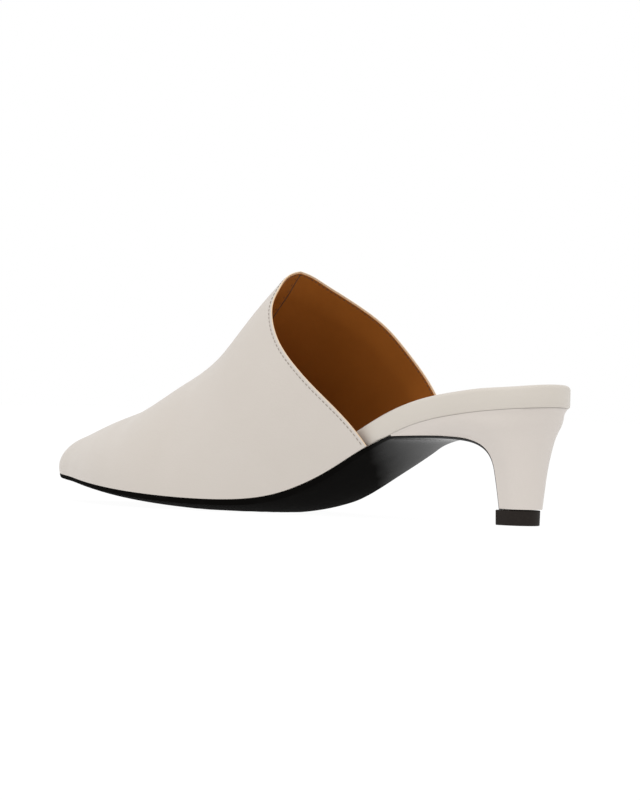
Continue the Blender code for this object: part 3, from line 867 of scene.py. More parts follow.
@dataclass(frozen=True)
class Crease:
    """A soft trough, or a ridge where its depth is negative, between two points of the upper's outer face.

    Each point is a place along the shoe and a signed share of the girth, 0 at the crest and 1 at the outer
    feather line.
    """

    start: tuple[float, float]
    end: tuple[float, float]
    width: float
    depth: float


CREASES = (
    Crease((0.196, 0.30), (0.190, 0.62), 0.0050, 0.00030),
    Crease((0.203, 0.22), (0.199, 0.50), 0.0060, -0.00014),
    Crease((0.178, -0.10), (0.181, 0.22), 0.0055, 0.00022),
    Crease((0.171, -0.10), (0.172, 0.20), 0.0050, -0.00016),
    Crease((0.162, -0.12), (0.163, 0.20), 0.0055, 0.00020),
    Crease((0.205, -0.16), (0.204, 0.16), 0.0060, 0.00016),
    Crease((0.168, 0.55), (0.150, 0.84), 0.0090, 0.00018),
    Crease((0.150, 0.40), (0.132, 0.66), 0.0100, 0.00016),
    Crease((0.168, -0.55), (0.150, -0.82), 0.0090, 0.00022),
    Crease((0.180, -0.40), (0.170, -0.66), 0.0080, 0.00018),
    Crease((0.162, 0.58), (0.158, 0.82), 0.0028, -0.00022),
    Crease((0.157, 0.56), (0.153, 0.82), 0.0030, 0.00026),
    Crease((0.160, 0.46), (0.154, 0.70), 0.0060, 0.00026),
)


@dataclass
class Upper:
    """White leather upper with its tan lining, the stitched topline and the lining's front seam, whose groove's
    shade is painted as a dark brown cord.
    """

    last: Last
    placement: Placement
    leather: float = 0.00105
    skin_gap: float = 0.00002
    edge_round: float = 0.00030
    lining_set_back: float = 0.0004
    side_columns: int = 60
    wing_rows: int = 78
    wing_crowding: float = 1.6
    vamp_rows: int = 52
    toe_rows: int = 18
    wing_join: float = 0.150
    stitch_line: float = 0.0013
    inner_stitch_line: float = 0.0010
    skived_edge: float = 0.50
    skive_width: float = 0.0120
    back_row: int = 6
    girth_length: float = 0.060
    net_from: float = 0.054
    net_step: float = 0.0012
    net_turns: int = 41
    net_samples: int = 961
    topline_limit: float = 0.13
    topline_samples: int = 1600
    set_back_rows: int = 14
    set_back_step: float = 0.00003
    edge_steps: tuple[float, ...] = (0.12, 0.35, 0.65, 0.88)
    path_step: float = 0.0004
    seam_rows: int = 90
    seam_points: int = 120
    seam_stitched: float = 0.040
    stitch_pitch: float = 0.0019
    stitch_length: float = 0.0014
    thread_radius: float = 0.00014
    # Radius of the dark cord that paints the shade of the lining seam's groove.
    seam_shade_radius: float = 0.00028
    groove_depth: float = 0.00012
    groove_width: float = 0.00045
    turn_in: float = 0.0005
    grid: np.ndarray = field(init=False)
    normals: np.ndarray = field(init=False)
    back: np.ndarray = field(init=False)
    off: np.ndarray = field(init=False)
    skive: np.ndarray = field(init=False)

    def side_grid(self, side: Side, shares: np.ndarray) -> np.ndarray:
        """Outer face of one side: rows follow the topline, then straighten toward the toe.

        Args:
            side: Which side of the crest.
            shares: Shares of the girth for the columns.

        Returns:
            Points, rows by columns.
        """
        last = self.last
        toe = last.length - last.toe_cap
        turns = np.linspace(0, math.pi / 2, self.net_turns)
        run = np.concatenate([np.arange(self.net_from, toe, self.net_step), toe + last.toe_cap * turns])
        past_toe = np.clip((run - toe) / last.toe_cap, 0, None)
        places = np.where(run > toe, toe + last.toe_cap * np.sin(past_toe), run)
        net = np.stack([last.section(float(x), side, shares, self.net_samples) for x in places])
        turns = np.linspace(0, math.pi / 2, self.toe_rows + 1)[1:]
        common = np.concatenate([np.linspace(self.wing_join, toe, self.vamp_rows + 1)[1:],
                                 toe + last.toe_cap * turns])
        wing = np.linspace(0, 1, self.wing_rows + 1) ** self.wing_crowding
        grid = np.zeros((self.wing_rows + 1 + len(common), len(shares), 3))
        for j in range(len(shares)):
            line = Spline(run, net[:, j])
            near = np.linspace(self.net_from, self.topline_limit, self.topline_samples)
            past = near - last.topline_at(line(near)[:, 2], side)
            crossings = np.nonzero((past[:-1] < 0) & (past[1:] >= 0))[0]
            i = crossings[-1] if len(crossings) else 0
            start = near[i] - past[i] * (near[i + 1] - near[i]) / (past[i + 1] - past[i])
            grid[:, j] = line(np.concatenate([start + (self.wing_join - start) * wing, common]))
        return grid

    @staticmethod
    def face_normals(grid: np.ndarray) -> np.ndarray:
        """Outward direction at each point of a grid."""
        along = np.gradient(grid, axis=0)
        across = np.gradient(grid, axis=1)
        normals = np.cross(along, across)
        normals[-1] = 1.0, 0.0, 0.0
        return unit(normals)

    def shape(self) -> None:
        """Work out the outer face with its creases, and how far each point lies from the topline, which the
        stitch groove and the thinned edge follow.
        """
        shares = np.linspace(0, 1, self.side_columns + 1)
        inner = self.side_grid(Side.INNER, shares)
        outer = self.side_grid(Side.OUTER, shares)
        ridge = (inner[:, :1] + outer[:, :1]) / 2
        grid = np.concatenate([inner[:, :0:-1], ridge, outer[:, 1:]], axis=1)
        girth = np.concatenate([-shares[:0:-1], shares])
        normals = self.face_normals(grid)
        self.grid = grid + normals * self.folds(grid, girth)[..., None]
        self.normals = self.face_normals(self.grid)
        self.back = unit(self.grid[self.back_row] - self.grid[0])
        along = unit(np.gradient(self.grid[0], axis=0))
        apart = self.grid - self.grid[0]
        along_rim = np.einsum("ijk,jk->ij", apart, along)
        self.off = np.linalg.norm(apart - along_rim[..., None] * along, axis=-1)
        self.skive = self.skived_edge + (1 - self.skived_edge) * ease(self.off / self.skive_width)

    def folds(self, grid: np.ndarray, girth: np.ndarray) -> np.ndarray:
        """Height of the creases at each point.

        Args:
            grid: Points of the plain outer face.
            girth: Signed share of the girth of each column.

        Returns:
            Height along the normal, in metres.
        """
        height = np.zeros(grid.shape[:2])
        spread = self.girth_length
        place = np.stack([grid[..., 0], np.broadcast_to(girth, grid.shape[:2]) * spread], axis=-1)
        for crease in CREASES:
            start = np.array([crease.start[0], crease.start[1] * spread])
            end = np.array([crease.end[0], crease.end[1] * spread])
            run = end - start
            share = np.clip(((place - start) @ run) / (run @ run), 0, 1)
            near = start + share[..., None] * run
            off = np.linalg.norm(place - near, axis=-1)
            fade = 0.35 + 0.65 * np.sin(math.pi * share)
            height -= crease.depth * fade * np.exp(-(off / crease.width) ** 2)
        return height

    def groove(self, line: float) -> np.ndarray:
        """Relief of the stitch groove and the softened edge of a face.

        Args:
            line: Distance of the stitches from the topline.

        Returns:
            Height at each point, in metres.
        """
        height = -self.groove_depth * np.exp(-((self.off - line) / self.groove_width) ** 2)
        return height - self.edge_round * 0.5 * np.exp(-self.off / self.edge_round)

    @staticmethod
    def resampled(line: np.ndarray, count: int) -> np.ndarray:
        """Line of points spaced evenly along itself."""
        run = np.concatenate([[0], np.cumsum(np.linalg.norm(np.diff(line, axis=0), axis=1))])
        at = np.linspace(0, run[-1], count)
        return np.stack([np.interp(at, run, line[:, k]) for k in range(3)], axis=1)

    def layer(self, name: str, depth_out: float, depth_in: float, set_back: float,
              finishes: Sequence[bpy.types.Material], turn_in: float) -> bpy.types.Object:
        """One closed layer of the upper between two depths below its outer face.

        Args:
            name: Name of the piece.
            depth_out: Depth of the layer's outer face.
            depth_in: Depth of its inner face.
            set_back: How far its top edge is behind the topline.
            finishes: Materials of the face and of the cut edge.
            turn_in: How far the lower edge turns in under the last.

        Returns:
            The piece.
        """
        grid = self.grid.copy()
        back = self.back
        if set_back:
            grid[0] = grid[0] + back * set_back
            for i in range(1, self.set_back_rows):
                least = self.set_back_step * i
                ahead = np.einsum("ij,ij->i", grid[i] - grid[0], back)
                grid[i] = np.where((ahead < least)[:, None], grid[0] + back * least, grid[i])
        raised = self.groove(self.stitch_line) if depth_out == 0 else np.zeros(grid.shape[:2])
        sunk = self.groove(self.inner_stitch_line) if depth_in == self.last.wall else np.zeros(grid.shape[:2])
        outside = grid - self.normals * (depth_out * self.skive - raised)[..., None]
        inside = grid - self.normals * (depth_in * self.skive + sunk)[..., None]
        mesh = Mesh()
        outer = mesh.add_points(outside)
        inner = mesh.add_points(inside)
        mesh.add_grid(outer)
        mesh.add_grid(inner, flip=True)
        thick = (depth_in - depth_out) * self.skived_edge
        foot_thick = depth_in - depth_out
        rows = [outer[0]]
        for share in self.edge_steps:
            bulge = min(self.edge_round, thick * 0.4) * math.sqrt(1 - (2 * share - 1) ** 2)
            ring = outside[0] * (1 - share) + inside[0] * share - back * bulge
            rows.append(mesh.add_points(ring))
        rows.append(inner[0])
        mesh.add_grid(np.stack(rows), finish=1, flip=True)
        for j, flip in ((0, False), (-1, True)):
            foot = outside[:, j].copy()
            toward = unit(inside[:, j] - outside[:, j])
            middle = mesh.add_points(foot + toward * foot_thick * 0.35 - np.array([0, 0, turn_in * 0.35]))
            deep = mesh.add_points(foot + toward * foot_thick * 0.9 - np.array([0, 0, turn_in * 0.5]))
            rows = [outer[:, j], middle, deep, inner[:, j]]
            mesh.add_grid(np.stack(rows), flip=flip)
        return mesh.build(name, self.placement, finishes)

    def topline_path(self, offset: float, step: float, tree: BVHTree,
                     depth: float) -> tuple[np.ndarray, np.ndarray]:
        """Points along the topline, set in from it on the outer or the inner face.

        Args:
            offset: Distance in from the topline.
            step: Distance between points.
            tree: Face to lay the points on.
            depth: Depth of that face below the outer face.

        Returns:
            The points and the face's directions at them.
        """
        rim = self.face(depth)[0]
        length = float(np.linalg.norm(np.diff(rim, axis=0), axis=1).sum())
        count = max(int(length / self.path_step), 8)
        line = self.resampled(rim, count)
        facing = unit(self.resampled(self.normals[0], count))
        heading = unit(np.gradient(line, axis=0))
        inward = unit(np.cross(heading, facing))
        target = line + inward * offset
        if np.dot(target[count // 4] - line[count // 4], self.grid[4, 30] - self.grid[0, 30]) < 0:
            target = line - inward * offset
        spots = []
        ways = []
        for spot in target:
            near, way, _, _ = tree.find_nearest(Vector(spot))
            spots.append(np.array(near))
            ways.append(np.array(way))
        line = np.array(spots)
        count = max(int(np.linalg.norm(np.diff(line, axis=0), axis=1).sum() / step), 2)
        return self.resampled(line, count), unit(self.resampled(np.array(ways), count))

    def face(self, depth: float) -> np.ndarray:
        """Points of the face at a depth, with the wall thinned toward the topline."""
        return self.grid - self.normals * (depth * self.skive)[..., None]

    def tree(self, depth: float) -> BVHTree:
        """Search tree of the face at a depth below the outer one, before it is moved into the frame."""
        face = self.face(depth)
        rows, columns = face.shape[:2]
        quads = [(i * columns + j, (i + 1) * columns + j, (i + 1) * columns + j + 1, i * columns + j + 1)
                 for i in range(rows - 1) for j in range(columns - 1)]
        return BVHTree.FromPolygons([tuple(map(float, p)) for p in face.reshape(-1, 3)], quads)

    def build(self, finishes: "Finishes") -> list[bpy.types.Object]:
        """Make the pieces of the upper.

        Args:
            finishes: Materials of the shoe.

        Returns:
            The pieces.
        """
        self.shape()
        wall = self.last.wall
        leather = self.layer("upper_leather", 0.0, self.leather, 0.0,
                             (finishes.white, finishes.leather_edge), self.turn_in)
        lining = self.layer("upper_lining", self.leather + self.skin_gap, wall, self.lining_set_back,
                            (finishes.lining, finishes.lining_edge), self.turn_in)
        spots, ways = self.topline_path(self.stitch_line, self.stitch_pitch, self.tree(0.0), 0.0)
        outer_row = Stitching(self.thread_radius, self.stitch_length).build(
            "topline_stitches", spots[1:-1], ways[1:-1], self.placement, finishes.pale_thread)
        spots, ways = self.topline_path(self.inner_stitch_line, self.stitch_pitch, self.tree(wall), wall)
        inner_row = Stitching(self.thread_radius, self.stitch_length).build(
            "lining_stitches", spots[2:-2], -ways[2:-2], self.placement, finishes.brown_thread_and_seam_shade)
        seam = self.front_seam(finishes)
        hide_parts("upper")
        pieces = [leather, lining, outer_row, inner_row, seam]
        return pieces

    def front_seam(self, finishes: "Finishes") -> bpy.types.Object:
        """Seam down the middle of the lining: a dark brown cord along its middle that is painted shade of the
        seam's groove, with one row of stitches beside it on the outer side.
        """
        middle = self.side_columns
        inner = self.face(self.last.wall)[:self.seam_rows]
        inward = -self.normals[:self.seam_rows]
        line = self.resampled(inner[:, middle], self.seam_points)[2:]
        ways = unit(self.resampled(inward[:, middle], self.seam_points))[2:]
        beside = self.resampled(inner[:, middle + 1], int(self.seam_stitched / self.stitch_pitch))[1:]
        beside_ways = unit(self.resampled(inward[:, middle + 1], len(beside) + 1))[1:]
        sewn = Stitching(self.thread_radius, self.stitch_length)
        mesh = Mesh()
        heading = unit(np.gradient(line, axis=0))
        sideways = unit(np.cross(ways, heading))
        # A flattened dark brown cord along the middle of the seam: painted shade of the seam's groove.
        turns = np.linspace(0, 2 * math.pi, 8, endpoint=False)
        rings = (line[:, None] + self.seam_shade_radius * (np.cos(turns)[None, :, None] * sideways[:, None]
                                                     + 0.6 * np.sin(turns)[None, :, None] * ways[:, None]))
        numbers = mesh.add_points(rings)
        mesh.add_grid(numbers, around=True)
        mesh.add_face(numbers[0][::-1])
        mesh.add_face(numbers[-1])
        for spot, way, ahead in zip(beside, beside_ways, unit(np.gradient(beside, axis=0))):
            sewn.stitch(mesh, spot, way, ahead)
        return mesh.build("lining_seam_and_shade", self.placement, (finishes.brown_thread_and_seam_shade,))


@dataclass
class Stitching:
    """A row of stitches, each a short arc of thread that dips into its holes."""

    radius: float
    length: float
    rise: float = 0.00010
    sunk: float = 0.00008
    rings: int = 6
    sides: int = 6

    def build(self, name: str, spots: np.ndarray, ways: np.ndarray, placement: Placement,
              thread: bpy.types.Material) -> bpy.types.Object:
        """Make one piece of all the stitches of a row.

        Args:
            name: Name of the piece.
            spots: Middle of each stitch.
            ways: Direction off the leather at each stitch.
            placement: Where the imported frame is.
            thread: Material of the thread.

        Returns:
            The piece.
        """
        mesh = Mesh()
        for spot, way, ahead in zip(spots, ways, unit(np.gradient(spots, axis=0))):
            self.stitch(mesh, spot, way, ahead)
        return mesh.build(name, placement, (thread,))

    def stitch(self, mesh: Mesh, spot: np.ndarray, way: np.ndarray, ahead: np.ndarray) -> None:
        """Add one stitch.

        Args:
            mesh: Mesh to add to.
            spot: Middle of the stitch.
            way: Direction off the leather.
            ahead: Direction of the row.
        """
        sideways = unit(np.cross(way, ahead))
        rows = []
        for share in np.linspace(0, 1, self.rings):
            arch = math.sin(math.pi * share)
            middle = spot + ahead * (share - 0.5) * self.length + way * (self.rise * arch - self.sunk)
            thick = self.radius * (0.25 + 0.75 * math.sqrt(max(arch, 0.0)))
            ring = [middle + thick * (math.cos(turn) * sideways + math.sin(turn) * way)
                    for turn in np.linspace(0, 2 * math.pi, self.sides, endpoint=False)]
            rows.append(np.array(ring))
        numbers = mesh.add_points(np.array(rows))
        mesh.add_grid(numbers, around=True)
        mesh.add_face(numbers[0][::-1])
        mesh.add_face(numbers[-1])


class Pad:
    """Closed pad from plan loops at several heights."""

    def __init__(self, columns: int = 14) -> None:
        """Start empty.

        Args:
            columns: How many points fill the pad across its faces.
        """
        self.columns = columns
        self.mesh = Mesh()

    def fill(self, levels: Sequence[tuple[tuple[np.ndarray, np.ndarray], Callable, int]],
             low: Callable, high: Callable) -> Mesh:
        """Add the walls and both faces.

        Args:
            levels: Plan loop, height function and finish number of each level, from the bottom up.
            low: Height function of the bottom face.
            high: Height function of the top face.

        Returns:
            The filled mesh.
        """
        rings = []
        for (outer, inner), height, _ in levels:
            loop = np.concatenate([outer, inner[-2:0:-1]])
            heights = np.array([float(height(x, y)) for x, y in loop])
            rings.append(self.mesh.add_points(np.column_stack([loop, heights])))
        for i in range(len(rings) - 1):
            pair = np.stack([rings[i], rings[i + 1]])
            self.mesh.add_grid(pair, finish=levels[i + 1][2], flip=True, around=True)
        self.cap(rings[0], levels[0][0], low, levels[0][2], False)
        self.cap(rings[-1], levels[-1][0], high, levels[-1][2], True)
        return self.mesh

    def cap(self, ring: np.ndarray, edges: tuple[np.ndarray, np.ndarray], height: Callable, finish: int,
            is_top: bool) -> None:
        """Fill one ring in strips across it.

        Args:
            ring: Point numbers, along the outer edge and back along the inner one.
            edges: Plan of both edges.
            height: Height function of the face.
            finish: Which finish the faces take.
            is_top: Whether the face looks up.
        """
        outer, inner = edges
        count = len(outer)
        rows = []
        for i in range(count):
            if i in (0, count - 1):
                rows.append(np.full(self.columns + 2, ring[i]))
                continue
            shares = np.arange(1, self.columns + 1) / (self.columns + 1)
            line = outer[i] * (1 - shares[:, None]) + inner[i] * shares[:, None]
            heights = np.array([float(height(x, y)) for x, y in line])
            middle = self.mesh.add_points(np.column_stack([line, heights]))
            rows.append(np.concatenate([[ring[i]], middle, [ring[-i]]]))
        self.mesh.add_grid(np.stack(rows), finish=finish, flip=is_top)


@dataclass
class Footbed:
    """Padded footbed wrapped in white leather, with a tan sock laid in its rim."""

    last: Last
    placement: Placement
    rim_thickness: float = 0.0084
    forepart_thickness: float = 0.0034
    thin_from: float = 0.078
    thin_to: float = 0.118
    forepart_ease: float = 0.0009
    ease_length: float = 0.03
    rim_round: float = 0.0017
    foot_round: float = 0.0006
    seat_cup: float = 0.0010
    cup_half: float = 0.020
    cup_from: float = 0.03
    cup_fade: float = 0.05
    cup_back: float = 0.015
    sock_recess: float = 0.0011
    sock_thickness: float = 0.0008
    sock_inset: float = 0.0030
    sock_stitch: float = 0.0022
    sock_round: float = 0.0004
    sock_face_inset: float = 0.0012
    stitched_to: float = 0.215
    stitch_pitch: float = 0.0026

    def thickness(self, x: Number) -> np.ndarray:
        """Upright thickness of the footbed, thinner from the waist forward."""
        thin = ease((x - self.thin_from) / (self.thin_to - self.thin_from))
        return (self.rim_thickness + (self.forepart_thickness - self.rim_thickness) * thin) * self.last.tilt(x)

    def bottom(self, x: Number, y: Number) -> np.ndarray:
        """Height of the underside."""
        return self.last.feather(x) + self.last.clearance - self.last.dip(x, y)

    def top(self, x: Number, y: Number) -> np.ndarray:
        """Height of the top, slightly cupped at the seat."""
        share = np.clip((y - self.last.axis(x)) / self.cup_half, -1, 1)
        fade = 1 - ease((x - self.cup_from) / self.cup_fade)
        cup = self.seat_cup * (1 - share ** 2) * fade * ease(x / self.cup_back)
        return self.last.feather(x) + self.thickness(x) - cup - self.last.dip(x, y)

    def floor(self, x: Number, y: Number) -> np.ndarray:
        """Height of the shallow recess inside the rim."""
        return self.top(x, y) - self.sock_recess

    def loop(self, inset: float) -> tuple[np.ndarray, np.ndarray]:
        """Plan loop of the footbed, drawn in by an inset."""
        def grow(x: float) -> float:
            """Growth of the plan at a place."""
            return -self.forepart_ease * float(ease((x - self.thin_from) / self.ease_length)) - inset
        return self.last.plan_loop(-inset, -inset - self.forepart_ease, grow)

    def rim(self, finishes: "Finishes") -> bpy.types.Object:
        """Wrapped footbed with its rounded rim."""
        levels = []
        for turn in np.linspace(1.0, 0.0, 5):
            up = self.foot_round * (1 - float(turn)) ** 1.5

            def low(x: float, y: float, up: float = up) -> float:
                """Height of this step of the lower edge."""
                return float(self.bottom(x, y)) + up
            levels.append((self.loop(self.foot_round * float(turn)), low, 0))
        for degrees in np.linspace(0, 90, 10):
            turn = math.radians(float(degrees))
            down = self.rim_round * (1 - math.sin(turn))

            def round_edge(x: float, y: float, down: float = down) -> float:
                """Height of this step of the rounded rim."""
                scale = float(np.clip(self.thickness(x) / self.rim_thickness, 0, 1))
                return float(self.top(x, y)) - down * scale
            levels.append((self.loop(self.rim_round * (1 - math.cos(turn))), round_edge, 0))
        levels.append((self.loop(self.sock_inset - self.last.clearance), self.floor, 0))
        mesh = Pad().fill(levels, self.bottom, self.floor)
        return mesh.build("footbed_rim", self.placement, (finishes.rim,))

    def sock(self, finishes: "Finishes") -> bpy.types.Object:
        """Thin leather sheet inside the rim, softly padded."""
        edge = self.sock_inset
        thick = self.sock_thickness
        gap = self.last.clearance
        levels = [(self.loop(edge), lambda x, y: self.floor(x, y) + gap, 1)]
        for share in np.linspace(0, 1, 5):
            turn = float(share) * math.pi / 2
            inset = edge + self.sock_round * (1 - math.cos(turn))
            rise = thick - self.sock_round * (1 - math.sin(turn))
            levels.append((self.loop(inset), lambda x, y, rise=rise: self.floor(x, y) + gap + rise, 1))

        def under(x: float, y: float) -> float:
            """Height of the sheet's underside."""
            return self.floor(x, y) + gap

        def face(x: float, y: float) -> float:
            """Height of the sheet's face."""
            return self.floor(x, y) + gap + thick

        levels.append((self.loop(edge + self.sock_face_inset), face, 0))
        mesh = Pad(18).fill(levels, under, face)
        return mesh.build("sock", self.placement, (finishes.sock, finishes.lining_edge))

    def sock_seam(self, finishes: "Finishes") -> bpy.types.Object:
        """Row of stitches round the sock, just inside its edge."""
        outer, inner = self.loop(self.sock_inset + self.sock_stitch)
        rise = self.last.clearance + self.sock_thickness
        outer, inner = (edge[edge[:, 0] < self.stitched_to] for edge in (outer, inner))
        order = np.concatenate([outer[::-1], inner[1:]])
        heights = np.array([float(self.floor(x, y)) + rise for x, y in order])
        line = np.column_stack([order, heights])
        run = float(np.linalg.norm(np.diff(line, axis=0), axis=1).sum())
        spots = Upper.resampled(line, int(run / self.stitch_pitch))
        slope = (self.last.feather(spots[:, 0] + 0.001) - self.last.feather(spots[:, 0])) / 0.001
        ways = unit(np.column_stack([-slope, np.zeros(len(spots)), np.ones(len(spots))]))
        return Stitching(0.00016, 0.0019, rise=0.00010, sunk=0.00004).build(
            "sock_stitches", spots, ways, self.placement, finishes.sock_thread)

    def build(self, finishes: "Finishes") -> list[bpy.types.Object]:
        """Make the pieces of the footbed.

        Args:
            finishes: Materials of the shoe.

        Returns:
            The pieces.
        """
        rim = self.rim(finishes)
        sock = self.sock(finishes)
        stitches = self.sock_seam(finishes)
        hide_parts("insole")
        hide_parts("sock_lining")
        return [rim, sock, stitches]


@dataclass
class Outsole:
    """Thin black sole from the toe through the waist, under the heel's lip and down its breast."""

    last: Last
    placement: Placement
    flap_thickness: float = 0.0007
    lip_thickness: float = 0.0007
    edge_round: float = 0.0005
    bevel: float = 0.0010
    columns: int = 25
    toe_rows: int = 24
    body_from: float = 0.2310
    body_to: float = 0.0720
    body_step: float = 0.0015
    joint: tuple[float, float] = (0.0780, 0.0715)
    waist_end: float = 0.066
    lip_rows: int = 90

    def stations(self) -> np.ndarray:
        """Stations of the sole from the toe to the foot of the flap.

        Returns:
            Place, height, outer and inner half width, edge thickness, crown, axis and dip of each station.
        """
        last = self.last
        edge = column(SOLE_TABLE, "edge", 1.0, last.length)
        crown = column(SOLE_TABLE, "crown", 1.0, last.length)
        reach = column(SOLE_TABLE, "reach", 1.0, last.length)
        tip = last.length - last.wall - last.clearance + float(reach(last.length))
        turns = np.linspace(math.pi / 2, 0, self.toe_rows)
        toe = tip - last.toe_cap + last.toe_cap * np.sin(turns)
        xs = np.concatenate([toe, np.arange(self.body_from, self.body_to, -self.body_step)])

        def row(x: float) -> list[float]:
            """One station under the last."""
            grow = float(reach(x))
            outer = float(last.half_width(x, Side.OUTER, grow))
            inner = float(last.half_width(x, Side.INNER, grow))
            return [x, float(last.feather(x)), outer, inner, float(edge(x)), float(crown(x)),
                    float(last.axis(x)), float(last.crown(x))]

        body = [row(float(x)) for x in xs]
        coarse = [row(x) for x in (*self.joint, self.waist_end)]
        coarse[-1][7] = 0.0
        steps = BREAST_TABLE[::-1]
        for i, step in enumerate(steps):
            thin = float(ease(i / (len(steps) - 1) * 3))
            thick = self.lip_thickness + (self.flap_thickness - self.lip_thickness) * thin
            coarse.append([step.forward, step.height - last.clearance, step.half, step.half, thick, 0.0002,
                           float(last.axis(step.forward)), 0.0])
        table = np.array(coarse)
        run = np.concatenate([[0], np.cumsum(np.hypot(np.diff(table[:, 0]), np.diff(table[:, 1])))])
        at = np.linspace(run[1], run[-1], self.lip_rows)
        smooth = np.stack([Spline(run, table[:, k])(at) for k in range(table.shape[1])], axis=1)
        return np.concatenate([np.array(body), smooth])

    def build(self, finishes: "Finishes") -> list[bpy.types.Object]:
        """Make the sole.

        Args:
            finishes: Materials of the shoe.

        Returns:
            The piece.
        """
        table = self.stations()
        heading = unit(np.gradient(table[:, :2], axis=0))
        square = np.stack([-heading[:, 1], heading[:, 0]], axis=1)
        square[:self.toe_rows] = 0.0, -1.0
        share = np.sin(np.linspace(-math.pi / 2, math.pi / 2, self.columns))
        share = 0.35 * share + 0.65 * np.linspace(-1, 1, self.columns)
        mesh = Mesh()
        rings = []
        for (x, z, outer, inner, edge, crown, middle, dip), (down_x, down_z) in zip(table, square):
            wide = outer + inner
            fade = min(1.0, wide / 0.012)
            half = np.where(share > 0, outer, inner)
            hang = dip * fade * (1 - share ** 2)
            top = np.stack([np.full(len(share), x), middle + half * share, z - hang], axis=1)
            bevel = min(self.bevel, 0.3 * wide) * 0.5
            low_half = np.maximum(half - bevel, 0.0)
            depth = edge + crown * fade * (1 - share ** 2)
            low = np.stack([x + down_x * depth, middle + low_half * share, z - hang + down_z * depth], axis=1)
            ring = [top]
            corner = min(self.edge_round, 0.2 * wide, edge * 0.4)
            for end, sign in ((-1, 1.0), (0, -1.0)):
                steps = []
                for turn in np.linspace(0, math.pi / 2, 5):
                    inset = corner * (1 - math.cos(turn))
                    drop = edge - corner * (1 - math.sin(turn))
                    out = (outer if end else inner) - bevel * drop / edge - inset
                    steps.append((x + down_x * drop, middle + sign * max(out, 0.0), z + down_z * drop))
                steps = np.array(steps)
                if end == -1:
                    ring.append(steps)
                    ring.append(low[::-1][1:-1])
                else:
                    ring.append(steps[::-1])
            loop = np.concatenate(ring)
            loop[:, 2] = np.maximum(loop[:, 2], 0.0)
            rings.append(mesh.add_points(loop))
        numbers = np.stack(rings)
        mesh.add_grid(numbers, around=True, flip=True)
        mesh.add_face(numbers[0][::-1])
        mesh.add_face(numbers[-1])
        sole = mesh.build("sole", self.placement, (finishes.sole,), sharp=45)
        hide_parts("outsole")
        return [sole]


